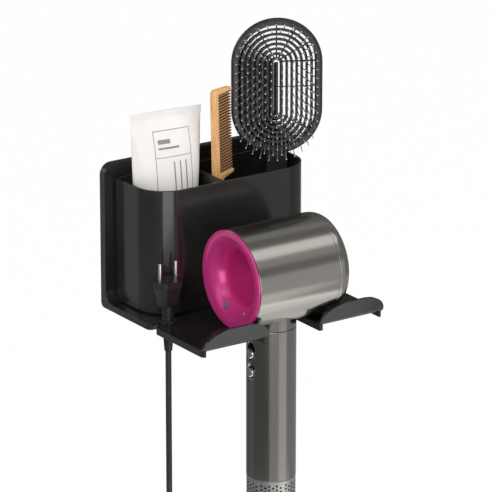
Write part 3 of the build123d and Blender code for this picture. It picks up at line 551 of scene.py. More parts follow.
brushAbs = mouldedPlastic("brushAbs", "#252523", "#2e2d2b", (0.26, 0.36), grain=0.3, depth=0.002)
bristleNylon = mouldedPlastic("bristleNylon", "#605f5d", "#72716e", (0.3, 0.4), grain=0.2, depth=0.002)
paleNylon = mouldedPlastic("paleNylon", "#b9b7b3", "#d2d0cc", (0.3, 0.4), grain=0.2, depth=0.002)
beechWood = oiledBeech("beechWood", "#eec189", "#d99c60", "#b0713c")
# Painted shade: darker beech for the sawn faces, standing in for the shade between the teeth, so the teeth
# read as fine dark lines
kerfBeech = oiledBeech("kerfBeech", "#7a5238", "#644230", "#4e3224")
tubeLaminate = whiteLaminate("tubeLaminate")
greyPrint = mouldedPlastic("greyPrint", "#7d7d7b", "#8c8c8a", (0.45, 0.5), grain=0.4, depth=0.002)
print("finishes ready")


# Mains lead: one round flexible from the dryer's gland, wound up, to the plug in the notch
lead = {"diameter": 4.5 * mm, "drop": 20.5 * mm, "perTurn": 16, "pitch": 4.6 * mm, "sides": 14,
        "glide": 0.2, "firstGlide": 0.85, "lastGlide": 0.28, "glideStep": 0.045, "slope": 0.25,
        "strapWidth": 8 * mm, "strapWall": 1.1 * mm, "strapCorner": 2 * mm, "strapSlack": 0.15 * mm,
        "strapEdge": 0.3 * mm, "blendGap": 2 * mm}
# Lanes of the winding as (layer from the rim, side): in on one half of its width, out on the other
lanes = [(0, 0), (1, 0), (1, 1), (2, 1), (2, 0), (3, 0), (3, 1), (3, 2), (3, 3), (2, 3), (2, 2), (1, 2),
         (1, 3), (0, 3)]
middleLane = (0, 1.5)


def eased(share):
    share = min(max(share, 0.0), 1.0)
    return share * share * (3 - 2 * share)


def laneAt(turn):
    # Each turn slides to the next lane a little earlier than the one before it, so they never cross
    if turn < lead["glide"]:
        return mixLanes(middleLane, lanes[0], turn / lead["glide"])
    last = len(lanes) - 1
    if turn > last:
        return mixLanes(lanes[last], middleLane, (turn - last - lead["lastGlide"]) / lead["glide"])
    for k in range(last):
        start = k + lead["firstGlide"] - k * lead["glideStep"]
        if turn < start + lead["glide"]:
            return mixLanes(lanes[k], lanes[k + 1], (turn - start) / lead["glide"])
    return lanes[last]


def mixLanes(first, second, share):
    glide = eased(share)
    return [a + (b - a) * glide for a, b in zip(first, second)]


def endOf(node, top):
    # Middle of a node's top or bottom end
    low, high, middle = spanOf(node)
    middle.z = high.z if top else low.z
    return middle


def leadRoute():
    gland, tail = endOf("cord_gland", False), endOf("plug_relief", False)
    low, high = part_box("cord_coil")
    centre, half = (low + high) / 2, (high.z - low.z) / 2
    across = Vector((gland.x - tail.x, gland.y - tail.y, 0)).normalized()
    beside = across.cross(Vector((0, 0, 1)))
    outer = half - lead["diameter"] / 2
    foot = centre + across * outer
    landing = endOf("cord_dryer_lead", False).z
    down = Vector((0, 0, lead["drop"]))
    points = [gland, gland - down, Vector((foot.x, foot.y, landing)) + down]
    turns = len(lanes) - 0.5
    reach = math.cos(math.pi / lead["perTurn"])
    for step in range(1, int(turns * lead["perTurn"])):
        turn = step / lead["perTurn"]
        layer, side = laneAt(turn)
        angle = -2 * math.pi * turn
        radius = (outer - layer * lead["pitch"]) / reach
        points.append(centre + across * (radius * math.cos(angle)) + beside * ((side - 1.5) * lead["pitch"])
                      + Vector((0, 0, radius * math.sin(angle))))
    points.append(Vector((tail.x, tail.y, centre.z + half)))
    points.append(Vector((tail.x, tail.y, centre.z + 3 * half)))
    points.append(Vector((tail.x, tail.y, tail.z - 2 * half)))
    points.append(tail)
    return points, across


def smoothPath(points):
    # The points that one smooth curve passes through
    curve = bpy.data.curves.new("leadLine", "CURVE")
    curve.dimensions = "3D"
    curve.resolution_u = 6
    spline = curve.splines.new("NURBS")
    spline.points.add(len(points) - 1)
    for point, here in zip(spline.points, points):
        point.co = (*here, 1)
    spline.order_u = 3
    spline.use_endpoint_u = True
    line = bpy.data.objects.new("leadLine", curve)
    bpy.context.scene.collection.objects.link(line)
    bpy.context.view_layer.update()
    mesh = bpy.data.meshes.new_from_object(line.evaluated_get(bpy.context.evaluated_depsgraph_get()))
    path = [v.co.copy() for v in mesh.vertices]
    bpy.data.objects.remove(line)
    return path


def roundTube(name, path, radius, sides, material):
    # A closed round tube along a path, carried round its bends without twist
    angles = [2 * math.pi * n / sides for n in range(sides)]
    rings = []
    side = None
    for k, here in enumerate(path):
        way = (path[min(k + 1, len(path) - 1)] - path[max(k - 1, 0)]).normalized()
        if side is None:
            side = way.orthogonal().normalized()
        side = (side - way * side.dot(way)).normalized()
        other = way.cross(side)
        rings.append([here + side * (radius * math.cos(a)) + other * (radius * math.sin(a))
                      for a in angles])
    return skinned(name, rings, material, 50)


def makeStrap(across):
    # Soft strap round the top of the winding
    middle = endOf("cord_coil", True) - Vector((0, 0, 2 * lead["pitch"]))
    wall, corner = lead["strapWall"], lead["strapCorner"]
    reach = 2 * lead["pitch"] + lead["strapSlack"] - corner
    beside = across.cross(Vector((0, 0, 1)))
    rings = []
    for bulge, offset in ((0, -1), (wall, -1), (wall, 1), (0, 1)):
        shift = across * (offset * lead["strapWidth"] / 2)
        ring = []
        for k, (x, z) in enumerate(((1, 1), (-1, 1), (-1, -1), (1, -1))):
            ring += arcPoints((x * reach, z * reach), corner + bulge, 90 * k, 90 * k + 90, 6)
        rings.append([middle + beside * u + Vector((0, 0, v)) + shift for u, v in ring])
    strap = bevelled(skinned("windingStrap", rings, softRubber, looped=True), lead["strapEdge"])
    return place(strap, "bracket", "cord_rubber", "cord_tie")


def makeLead():
    points, across = leadRoute()
    path = smoothPath(points)
    cable = roundTube("mainsLead", path, lead["diameter"] / 2, lead["sides"], cordPvc)
    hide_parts("cord_dryer_lead", "cord_coil", "cord_plug_lead")
    # The level of a point across the lead's run from the plug's side, and where the stretch beside the
    # handle begins
    gland, tail, foot = points[0], points[-1], points[2]
    slope = lead["slope"]

    def level(point):
        return (point - tail).dot(across) + slope * (point.z - tail.z)

    start = level(Vector((foot.x, foot.y, endOf("cord_dryer_lead", False).z))) + lead["blendGap"]
    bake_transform(cable)
    length = sum((b - a).length for a, b in zip(path, path[1:]))
    print("lead of", round(length, 3), "m")
    return cable, path, length, makeStrap(across)


# Dryer head: shell between the rear bell and the outlet ring
headSizes = {"steps": 256, "break": 0.35 * mm, "bezelLine": 0.5 * mm, "sealProud": 0.12 * mm,
             "sealSunk": 0.14 * mm, "bellDepth": 15 * mm, "bellInset": 0.15 * mm, "bellTail": 3 * mm,
             "bellWaist": 2 * mm, "bore": 20.3 * mm, "boreWall": 1.5 * mm, "boreShort": 2.4 * mm,
             "rim": 1.7 * mm, "rimStep": 1.2 * mm, "rimRound": 1.25 * mm, "shellWall": 1.5 * mm,
             "outletFace": 33.4 * mm, "land": 1.5 * mm, "slot": 2.2 * mm, "nose": 1.5 * mm,
             "lipRound": 0.6 * mm, "ringGap": 0.08 * mm, "ringTuck": 4 * mm, "fit": 0.1 * mm,
             "buttonGap": 0.25 * mm, "buttonRadius": 2.6 * mm, "buttonRound": 0.5 * mm,
             "buttonDeep": 4 * mm, "holeOut": 6 * mm, "holeIn": 5 * mm}
# Dome of a rear key: depth below its crown, share of its radius
keyDome = ((0.02 * mm, 0.7), (0.1 * mm, 0.35), (0.14 * mm, 0))


def headPlace():
    shellLow, shellHigh, middle = spanOf("head_shell")
    radius = (shellHigh.z - shellLow.z) / 2
    return {"back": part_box("rear_funnel")[0].x, "front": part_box("outlet_ring")[1].x,
            "shellStart": shellLow.x, "shellEnd": shellHigh.x, "radius": radius,
            "inner": radius - headSizes["shellWall"],
            "axis": Vector((0, middle.y, (shellLow.z + shellHigh.z) / 2))}


def headLathe(name, outline, at, material, sharpAngle=40):
    return lathe(name, outline, at["axis"], (1, 0, 0), material, headSizes["steps"], sharpAngle)


def makeHeadShell(at):
    outline = sleeveOutline(at["shellStart"], at["shellEnd"], at["inner"], at["radius"], headSizes["break"])
    shell = headLathe("headShell", outline, at, brushedNickel)
    return place(shell, "dryer", "brushed_nickel", "head_shell")


def makeBell(at):
    # Rolled rim, flared bell and the bore right through the head
    size = headSizes
    back, outer, roll = at["back"], at["radius"] - size["bellInset"], size["rimRound"]
    bore, wall, deep = size["bore"], size["boreWall"], size["bellDepth"]
    mouth = outer - roll
    flare = mouth - bore
    tail, end = back + deep + size["bellTail"], at["front"] - size["boreShort"]
    rim, tucked = back + size["rim"], at["inner"] - size["fit"]
    outline = arcPoints((back + roll, mouth), roll, 90, 180, 8)
    # The bell is a quarter ellipse from the rim's crest to the bore
    outline += arcPoints((back + deep, mouth), (deep, flare), 180, 270, 40)[1:]
    outline += [(end, bore), (end, bore + wall), (tail, bore + wall)]
    outline += arcPoints((tail, mouth - wall), (deep - size["bellWaist"], flare - 2 * wall), 270, 180, 20)
    outline += [(rim + size["rimStep"], tucked), (rim, tucked), (rim, outer)]
    bell = headLathe("rearBell", outline, at, magentaLacquer, 50)
    cutOut(bell, [buttonHole(name) for name in ("speed_button", "heat_button")])
    return place(bell, "dryer", "magenta_gloss", "rear_funnel")


def buttonAxis(node):
    # The way a rear button is pressed, and the middle of its outer face
    way = Vector(jointOf(node + "_press")["axis"]).normalized()
    points = [v.co for v in frame["nodes"][node].data.vertices]
    middle = (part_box(node)[0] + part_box(node)[1]) / 2
    near = min((p - middle).dot(way) for p in points)
    return way, middle + way * near


def buttonHole(node):
    size = headSizes
    way, face = buttonAxis(node)
    radius = size["buttonRadius"] + size["buttonGap"]
    start, end = -size["holeOut"], size["holeIn"]
    outline = [(start, 0), (start, radius), (end, radius), (end, 0)]
    return lathe(node + "Cutter", outline, face, way, magentaLacquer, 40, 50)


def makeRearButton(node, name):
    # Small domed metal key in the bell
    size = headSizes
    way, face = buttonAxis(node)
    radius, edge, deep = size["buttonRadius"], size["buttonRound"], size["buttonDeep"]
    outline = [(deep, 0), (deep, radius), (edge, radius)]
    outline += arcPoints((edge, radius - edge), edge, 90, 150, 4)[1:]
    outline += [(along, radius * share) for along, share in keyDome]
    return place(lathe(name, outline, face, way, polishedSteel, 48, 40), node, "silver_button", node)


def makeOutletRing(at):
    # Land flush with the shell, a rounded nose and the annular air slot
    size = headSizes
    start, end, outer, gap = at["shellEnd"], at["front"], at["radius"], at["shellEnd"] + size["ringGap"]
    face, land, edge, bead = size["outletFace"], size["land"], size["break"], size["lipRound"]
    lip = size["bore"] + size["boreWall"] + size["slot"]
    tucked, nose, tail = at["inner"] - size["fit"], end - size["nose"], start - size["ringTuck"]
    outline = arcPoints((gap + edge, outer - edge), edge, 180, 90, 3)
    outline += arcPoints((start + land, face), (end - start - land, outer - face), 90, 0, 28)
    outline += arcPoints((end - bead, lip + bead), bead, 0, -90, 4)
    outline += [(nose, lip), (nose, face), (gap, tucked - size["shellWall"]),
                (tail, tucked - size["shellWall"]), (tail, tucked), (gap, tucked)]
    ring = headLathe("outletRing", outline, at, brushedNickel)
    return place(ring, "dryer", "brushed_nickel", "outlet_ring")


def makeSeal(at):
    # Thin dark line of sealing lacquer between the rim and the shell
    start, outer = at["shellStart"], at["radius"] + headSizes["sealProud"]
    inner, half = at["radius"] - headSizes["sealSunk"], headSizes["bezelLine"] / 2
    outline = [(start - 2 * half, inner), (start, inner)]
    outline += arcPoints((start - half, outer - half), half, 0, 180, 8)
    return place(headLathe("rimSeal", outline, at, plumSeal, 60), "dryer", "magenta_gloss")


# Handle: drawn sleeve with a stadium slot for the switch and a round hole below it
handleSizes = {"steps": 192, "wall": 1.2 * mm, "break": 0.3 * mm, "gap": 0.6 * mm, "flange": 1 * mm,
               "flangeDeep": 2 * mm, "dome": 1.5 * mm, "ringMargin": 2 * mm, "slideMargin": 4 * mm,
               "crownShare": 0.35, "collarEdge": 0.15 * mm, "cutFromTo": (1.6, 0.3)}


def handlePlace():
    low, high, axis = spanOf("handle_sleeve")
    return {"axis": axis, "low": low.z, "high": high.z, "radius": (high.y - low.y) / 2}


def controlCutter(name, node, travel, at, sides=64):
    # Rounded slot round a control, as long as its travel
    low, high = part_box(node)
    radius = (high.y - low.y) / 2 - handleSizes["flange"] + handleSizes["gap"]
    centre = at["axis"] + Vector((0, 0, (low.z + high.z) / 2))
    ring = [(math.sin(a) * radius, math.cos(a) * radius + (travel if math.cos(a) > 0 else 0))
            for a in (2 * math.pi * k / sides for k in range(sides))]
    depths = [-at["radius"] * share for share in handleSizes["cutFromTo"]]
    return skinned(name, [[centre + Vector((x, y, z)) for y, z in ring] for x in depths], satinGunmetal)


def makeSleeve(at):
    size = handleSizes
    # Rings above and below the controls keep the metal's shading straight round their holes
    margin, between = size["ringMargin"], []
    for node, edge in (("cool_shot_button", 0), ("power_switch", 1)):
        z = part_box(node)[edge].z
        between += [(z - margin, at["radius"]), (z + margin + edge * size["slideMargin"], at["radius"])]
    outline = sleeveOutline(at["low"], at["high"], at["radius"] - size["wall"], at["radius"], size["break"],
                            between)
    sleeve = lathe("handleSleeve", outline, at["axis"], (0, 0, 1), satinGunmetal, size["steps"], 40)
    slide = jointOf("power_switch_slide")["range_m"][1]
    cutOut(sleeve, [controlCutter("switchCutter", "power_switch", slide, at),
                    controlCutter("coolCutter", "cool_shot_button", 0.0, at)])
    return place(sleeve, "dryer", "gunmetal_satin", "handle_sleeve")


def makeControl(node, name):
    # Domed button that stands a little proud of the sleeve
    low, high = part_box(node)
    wide = (high.y - low.y) / 2
    radius, dome, deep = wide - handleSizes["flange"], handleSizes["dome"], high.x - low.x
    centre = Vector((low.x, (low.y + high.y) / 2, (low.z + high.z) / 2))
    back = deep - handleSizes["flangeDeep"]
    outline = [(deep, 0), (deep, wide), (back, wide), (back, radius)]
    outline += arcPoints((dome, radius - dome), dome, 90, 165, 8)
    outline += [(0.0, radius * handleSizes["crownShare"]), (0.0, 0)]
    button = lathe(name, outline, centre, (1, 0, 0), polishedSteel, 72, 45)
    return place(button, node, "silver_button", node)


def makeCollar(at):
    # Trimmed to the sleeve's own radius, so only a seam shows under the head
    collar = cadCopy("neck_collar", "neckCollar", satinGunmetal, 35)
    for v in collar.data.vertices:
        out = Vector((v.co.x - at["axis"].x, v.co.y - at["axis"].y, 0))
        if out.length > at["radius"]:
            v.co -= out * (1 - at["radius"] / out.length)
    bevelled(collar, handleSizes["collarEdge"])
    return place(solidified(collar), "dryer", "brushed_nickel", "neck_collar")


# Inlet sleeve at the foot of the handle
cageSizes = {"blocks": 6, "columns": 6, "rows": 11, "pitch": 3.0 * mm, "turn": 9.2, "hole": 0.85 * mm,
             "wall": 1.0 * mm, "firstRow": 3.6 * mm, "phase": 32.75, "steps": 180, "edge": 0.25 * mm,
             "punch": 4 * mm, "punchSides": 12}


def newTree(name, sockets):
    # A geometry tree with the given inputs, and what its input node gives
    tree = bpy.data.node_groups.new(name, "GeometryNodeTree")
    for label, kind in {"Geometry": "Geometry", **sockets}.items():
        tree.interface.new_socket(label, in_out="INPUT", socket_type="NodeSocket" + kind)
    tree.interface.new_socket("Geometry", in_out="OUTPUT", socket_type="NodeSocketGeometry")
    return tree, addNode(tree, "NodeGroupInput").outputs


def dressedNode(tree, geometry, finish):
    return addNode(tree, "GeometryNodeSetMaterial", {"Geometry": geometry.outputs[0], "Material": finish})


def joinedNodes(tree, *pieces):
    both = addNode(tree, "GeometryNodeJoinGeometry")
    for piece in pieces:
        tree.links.new(piece, both.inputs[0])
    return both


def cageTree():
    # Punches a staggered field of round holes, block by block, through the sleeve's wall
    tree, given = newTree("punchedSleeve", {
        "Radius": "Float", "Hole Radius": "Float", "Row Pitch": "Float", "Column Turn": "Float",
        "First Row": "Float", "Phase": "Float", "Rows": "Int", "Columns": "Int", "Blocks": "Int",
        "Centre": "Vector", "Finish": "Material"})
    maths = partial(combine, tree)
    times = partial(maths, "MULTIPLY")
    index = addNode(tree, "GeometryNodeInputIndex").outputs[0]
    column = maths("FLOOR", maths("DIVIDE", index, given["Rows"]))
    row = maths("SUBTRACT", index, times(column, given["Rows"]))
    block = maths("FLOOR", maths("DIVIDE", column, given["Columns"]))
    within = maths("SUBTRACT", column, times(block, given["Columns"]))
    blockTurn = maths("DIVIDE", 2 * math.pi, given["Blocks"])
    inBlock = maths("ADD", times(within, given["Column Turn"]), given["Phase"])
    turn = maths("ADD", times(block, blockTurn), inBlock)
    lift = times(maths("MODULO", within, 2.0), times(given["Row Pitch"], -0.5))
    height = maths("ADD", given["First Row"], maths("ADD", times(row, given["Row Pitch"]), lift))
    count = times(times(given["Rows"], given["Columns"]), given["Blocks"])
    spot = addNode(tree, "ShaderNodeCombineXYZ", {
        0: times(maths("COSINE", turn), given["Radius"]), 1: times(maths("SINE", turn), given["Radius"]),
        2: height})
    middle = addNode(tree, "ShaderNodeVectorMath", {0: spot.outputs[0], 1: given["Centre"]})
    points = addNode(tree, "GeometryNodePoints", {"Count": count, "Position": middle.outputs[0]})
    punch = addNode(tree, "GeometryNodeMeshCylinder", {
        "Vertices": cageSizes["punchSides"], "Radius": given["Hole Radius"], "Depth": cageSizes["punch"]})
    aim = addNode(tree, "ShaderNodeCombineXYZ", {1: math.pi / 2, 2: turn})
    punches = addNode(tree, "GeometryNodeInstanceOnPoints", {
        "Points": points.outputs[0], "Instance": punch.outputs[0], "Rotation": aim.outputs[0]})
    cut = addNode(tree, "GeometryNodeMeshBoolean", {0: given["Geometry"], 1: punches.outputs[0]},
                  operation="DIFFERENCE", solver="EXACT")
    real = addNode(tree, "GeometryNodeRealizeInstances", {0: cut.outputs[0]})
    addNode(tree, "NodeGroupOutput", {0: dressedNode(tree, real, given["Finish"]).outputs[0]})
    return tree


def growBy(piece, tree, values):
    # Runs a tree on a piece with the given named inputs and keeps the result as a plain mesh
    grown = piece.modifiers.new(tree.name, "NODES")
    grown.node_group = tree
    for item in tree.interface.items_tree:
        if item.in_out == "INPUT" and item.name in values:
            grown[item.identifier] = values[item.name]
    return solidified(piece)


def makeCage():
    size = cageSizes
    low, high, centre = spanOf("filter_cage")
    outer = (high.x - low.x) / 2
    outline = sleeveOutline(low.z, high.z, outer - size["wall"], outer, size["edge"])
    cage = lathe("filterCage", outline, centre, (0, 0, 1), satinSilver, size["steps"], 40)
    growBy(cage, cageTree(), {
        "Radius": outer, "Hole Radius": size["hole"], "Row Pitch": size["pitch"],
        "Column Turn": math.radians(size["turn"]), "Phase": math.radians(size["phase"]),
        "First Row": low.z + size["firstRow"], "Rows": size["rows"], "Columns": size["columns"],
        "Blocks": size["blocks"], "Centre": centre, "Finish": satinSilver})
    cage.data.set_sharp_from_angle(angle=math.radians(40))
    return place(cage, "filter_cage", "silver_cage", "filter_cage")


glandSizes = {"wall": 0.7 * mm, "tip": 0.3 * mm, "rings": 5, "firstRing": 0.42, "ringShare": 0.5,
              "rootRun": 2 * mm, "rootGap": 0.1 * mm, "step": 1.1 * mm, "steps": 64}
# One relief groove, as steps along the gland and out from its taper
glandGroove = ((0, 0), (0.25 * mm, -0.45 * mm), (1.1 * mm, -0.4 * mm), (1.35 * mm, 0.05 * mm))


def makeGland():
    # Long tapered sleeve with fine relief rings near its root
    size = glandSizes
    low, high, centre = spanOf("cord_gland")
    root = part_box("filter_cage")[0].z
    wide, thin = (high.x - low.x) / 2, lead["diameter"] / 2 + size["wall"]
    outline = [(low.z, 0), (low.z, thin - size["tip"]), (low.z + size["tip"], thin)]
    for k in range(size["rings"]):
        share = size["firstRing"] + size["ringShare"] * k / size["rings"]
        z = low.z + (root - size["rootRun"] - low.z) * share
        r = thin + (wide - thin) * share
        outline += [(z + along, r + out) for along, out in glandGroove]
    top, neck = root - size["rootGap"], wide - size["step"]
    outline += [(root - size["rootRun"], wide), (top, wide), (top, neck), (high.z, neck), (high.z, 0)]
    gland = lathe("leadGland", outline, centre, (0, 0, 1), cordPvc, size["steps"], 40)
    return place(gland, "dryer", "cord_rubber", "cord_gland")


# Pressed bracket and moulded caddy, with fine rounded edges
shellEdges = {
    "wall_bracket": ("wallBracket", "bracket", 0.5 * mm),
    "caddy_body": ("caddyShell", "caddy", 0.45 * mm),
    "caddy_divider": ("caddyPartition", "caddy", 0.35 * mm),
}


def makeShells():
    for node, (name, body, width) in shellEdges.items():
        shell = bevelled(cadCopy(node, name, charcoalAbs, 30), width)
        place(solidified(shell), body, "charcoal_satin", node)


# Squeeze tube: round at its shoulder, flat at the crimped end
tubeSizes = {"around": 96, "rows": 48, "turn": -5.0, "margin": 6 * mm, "crimpHeight": 6 * mm,
             "crimpWall": 1.4 * mm, "crimpFlare": 1.4 * mm, "crimpFoot": 0.5 * mm, "crimpTop": 0.1 * mm,
             "ribPitch": 1.1 * mm, "ribDepth": 0.12 * mm, "ribShare": 0.45, "shoulder": 4 * mm,
             "shoulderRadius": 18.3 * mm, "shoulderSlope": 2.6 * mm, "seat": 0.1 * mm,
             "neckRadius": 8 * mm, "neckHeight": 9 * mm, "neckShort": 0.2 * mm, "folds": 7,
             "foldReach": 30 * mm, "foldShare": 0.5, "foldFade": 2 * mm}
# Height share from shoulder to crimp, width against the widest, depth
tubeStations = [(0.0, 0.66, 36.0 * mm), (0.33, 0.86, 30.0 * mm), (0.6, 0.95, 25.6 * mm),
                (0.82, 1.0, 16.5 * mm), (0.93, 1.02, 8.0 * mm), (1.0, 1.03, 1.6 * mm)]


def tubePlace():
    # Middle of the tube, its turn, and the width of its widest round part
    low, high, middle = spanOf("tube_body")
    turn = math.radians(tubeSizes["turn"])
    wide = (high.x - low.x) / math.cos(turn) - tubeSizes["margin"]
    return {"middle": middle, "turn": turn, "wide": wide, "low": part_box("tube_cap")[1].z, "high": high.z}


def smoothShare(stations, share, column):
    # Smooth value of one column between the stations on either side of a share
    for k in range(len(stations) - 1):
        if share <= stations[k + 1][0] or k == len(stations) - 2:
            before = stations[max(k - 1, 0)]
            after = stations[min(k + 2, len(stations) - 1)]
            here, there = stations[k], stations[k + 1]
            t = (share - here[0]) / (there[0] - here[0])
            reach = there[0] - here[0]
            m0 = (there[column] - before[column]) / max(there[0] - before[0], 1e-9) * reach
            m1 = (after[column] - here[column]) / max(after[0] - here[0], 1e-9) * reach
            h = t * t * (3 - 2 * t)
            return (here[column] * (1 - h) + there[column] * h + m0 * (t ** 3 - 2 * t * t + t)
                    + m1 * (t ** 3 - t * t))


def tubeOutline(at, height):
    # Half width and half depth of the tube at a height
    size = tubeSizes
    low = at["low"] + size["shoulder"]
    high = at["high"] - size["crimpHeight"]
    share = min(max((height - low) / (high - low), 0), 1)
    return smoothShare(tubeStations, share, 1) * at["wide"] / 2, smoothShare(tubeStations, share, 2) / 2


def turned(at, x, y, z):
    c, s = math.cos(at["turn"]), math.sin(at["turn"])
    return at["middle"] + Vector((x * c - y * s, x * s + y * c, z))


def makeTube(at):
    size = tubeSizes
    rng = random.Random(7)
    crimp, low = at["high"] - size["crimpHeight"], at["low"] + size["shoulder"]
    neck, shoulder = size["neckRadius"], size["shoulderRadius"] - size["shoulderSlope"]
    seat = at["low"] + size["seat"]
    rows = [(at["low"] - size["neckHeight"] + size["neckShort"], neck, neck), (seat, neck, neck),
            (seat, shoulder, shoulder)]
    for k in range(size["rows"] + 1):
        z = low + (crimp - low) * k / size["rows"]
        rows.append((z, *tubeOutline(at, z)))
    flat = size["crimpWall"] / 2
    edge = at["wide"] / 2 + size["crimpFlare"]
    ribs = int(size["crimpHeight"] / size["ribPitch"])
    ribbed = size["crimpHeight"] - size["crimpFoot"] - size["crimpTop"]
    for k in range(ribs + 1):
        z = crimp + size["crimpFoot"] + ribbed * k / ribs
        rows.append((z, edge, flat))
        if k < ribs:
            rows.append((z + size["ribPitch"] * size["ribShare"], edge, flat - size["ribDepth"]))
    folds = [(rng.uniform(-0.8, 0.8), rng.uniform(0.06, 0.16), rng.uniform(0.2, 0.55))
             for _ in range(size["folds"])]
    rings = []
    for z, wide, deep in rows:
        ring = []
        # Shallow creases run down from the crimp
        near = max(0.0, 1 - abs(z - crimp) / size["foldReach"]) if z < crimp else 0.0
        for n in range(size["around"]):
            angle = 2 * math.pi * n / size["around"]
            x, y = math.cos(angle) * wide, math.sin(angle) * deep
            dent = sum(depth * mm * math.exp(-((x / wide - spot) / width) ** 2)
                       for spot, width, depth in folds)
            fade = min(1.0, abs(y) / size["foldFade"])
            y -= math.copysign(1, y) * dent * near * near * size["foldShare"] * fade
            ring.append(turned(at, x, y, z))
        rings.append(ring)
    return place(skinned("squeezeTube", rings, tubeLaminate, 50), "tube", "tube_white", "tube_body")


# Heights are from the tube's top; blocks and lines are in millimetres from the frame's corner and rule
printSizes = {"left": -13 * mm, "right": 17 * mm, "top": -14 * mm, "bottom": -78 * mm, "rule": -33 * mm,
              "width": 0.45 * mm, "proud": 0.05 * mm, "cellWide": 1.2 * mm, "cellTall": 1.5 * mm,
              "blocks": ((3, 13, 6.5, 9.5), (3, 20, 12, 13.4)), "lines": (34, 27, 30), "lineGap": 4,
              "lineInset": 6 * mm, "linePitch": 5, "lineWidth": 1.0 * mm}


def makePrint(at):
    # Plain printed frame with blank bars, lying on the tube's front
    size = printSizes
    proud, width, gap = size["proud"], size["width"], size["lineGap"]
    left, right, top, bottom, rule = [size[edge] for edge in ("left", "right", "top", "bottom", "rule")]
    bars = []
    for z in (top, rule):
        bars.append((left, right, z, z - width))
    for x in (left, right - width):
        bars.append((x, x + width, top, bottom))
    for start, end, high, low in size["blocks"]:
        bars.append((left + start * mm, left + end * mm, top - high * mm, top - low * mm))
    for k, length in enumerate(size["lines"]):
        x = right - size["lineInset"] - k * size["linePitch"] * mm
        bars.append((x, x + size["lineWidth"], rule - gap * mm, rule - (gap + length) * mm))
    bm = bmesh.new()
    for x0, x1, z0, z1 in bars:
        across = max(2, int((x1 - x0) / size["cellWide"]))
        down = max(2, int((z0 - z1) / size["cellTall"]))
        grid = []
        for j in range(down + 1):
            z = at["high"] + z0 + (z1 - z0) * j / down
            wide, deep = tubeOutline(at, z)
            line = []
            for i in range(across + 1):
                x = x0 + (x1 - x0) * i / across
                y = -deep * math.sqrt(max(0.0, 1 - (x / wide) ** 2))
                line.append([bm.verts.new(turned(at, x, y - lift, z)) for lift in (proud, -2 * proud)])
            grid.append(line)
        for upper, lower in zip(grid, grid[1:]):
            for i in range(across):
                for k in (0, 1):
                    bm.faces.new((upper[i][k], upper[i + 1][k], lower[i + 1][k], lower[i][k]))
        rim = grid[0] + [line[-1] for line in grid[1:]]
        rim += grid[-1][-2::-1] + [line[0] for line in grid[-2:0:-1]]
        for here, there in zip(rim, rim[1:] + rim[:1]):
            bm.faces.new((here[0], there[0], there[1], here[1]))
    piece = objectFrom("tubePrint", meshFrom("tubePrint", bm), greyPrint, 50)
    return place(piece, "tube", "tube_white")


capSizes = {"flutes": 40, "fluteDepth": 0.35 * mm, "foot": 1.2 * mm, "footEdge": 0.4 * mm,
            "topEdge": 1.4 * mm, "fit": 0.3 * mm, "seat": 0.05 * mm}


def makeCap(at):
    # Fluted screw cap that holds the tube's neck
    size = capSizes
    low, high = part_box("tube_cap")
    radius, foot, edge, fit = (high.x - low.x) / 2, size["foot"], size["footEdge"], size["fit"]
    around, neck, seat = size["flutes"] * 4, tubeSizes["neckRadius"] + fit, high.z - size["seat"]
    outline = [(low.z, radius - foot - edge), (low.z + edge, radius - foot * 0.5), (low.z + foot, radius),
               (high.z - size["topEdge"], radius), (high.z - edge, radius - fit), (seat, radius - 1 * mm),
               (seat, neck), (high.z - tubeSizes["neckHeight"] - fit, neck)]
    rings = []
    for z, r in outline:
        ring = []
        for n in range(around):
            cut = size["fluteDepth"] * (n % 4 in (1, 2)) if abs(r - radius) < 1e-6 else 0
            angle = 2 * math.pi * n / around
            ring.append(turned(at, (r - cut) * math.cos(angle), (r - cut) * math.sin(angle), z))
        rings.append(ring)
    return place(skinned("screwCap", rings, tubeLaminate, 35), "tube_cap", "tube_white", "tube_cap")


# Wooden comb: flat beech blank, its tapered teeth grown by nodes
combSizes = {"turn": 21.0, "lean": 2.1, "head": 70 * mm, "width": 22 * mm, "spine": 4.5 * mm,
             "thickness": 5 * mm, "guard": 2.4 * mm, "topSlant": 2 * mm, "footSlant": 2 * mm,
             "corner": 3 * mm, "tipCorner": 1.6 * mm, "stepCorner": 1 * mm, "teeth": 28,
             "toothShare": 0.44, "toothSides": 8, "toothSwell": 1.08, "handle": 9 * mm,
             "edge": 0.5 * mm, "sawnFacing": 0.45}
# Along the tooth, its height and its depth, each as a share
toothStations = ((-0.04, 1.0, 0.94), (0.5, 1.0, 0.84), (0.93, 0.94, 0.66), (1.0, 0.66, 0.42))


def combPlane():
    # Local x from the spine's back to the points, local y up from the comb's top, local z out of its face
    turn, lean = math.radians(combSizes["turn"]), math.radians(combSizes["lean"])
    upright = Matrix.Rotation(turn, 4, "Z") @ Matrix.Rotation(math.radians(90), 4, "X")
    upright = upright @ Matrix.Rotation(lean, 4, "Z")
    back = upright.inverted()
    points = [back @ v.co for v in frame["nodes"]["wooden_comb"].data.vertices]
    middle = (max(p.z for p in points) + min(p.z for p in points)) / 2
    corner = Vector((min(p.x for p in points), max(p.y for p in points), middle))
    foot = min(p.y for p in points) - corner.y
    return upright @ Matrix.Translation(corner), foot


def toothMesh(pitch):
    # One tooth along local x: flat oval where it leaves the spine, fine and round at its point
    size = combSizes
    length, sides = size["width"] - size["spine"], size["toothSides"]
    rings = []
    for share, tall, deep in toothStations:
        ring = []
        for k in range(sides):
            angle = 2 * math.pi * (k + 0.5) / sides
            y = math.sin(angle) * tall * pitch * size["toothShare"] / 2 * size["toothSwell"]
            z = math.cos(angle) * deep * size["thickness"] / 2 * size["toothSwell"]
            ring.append((share * length, y, z))
        rings.append(ring)
    return skinned("combTooth", rings, beechWood, 60)


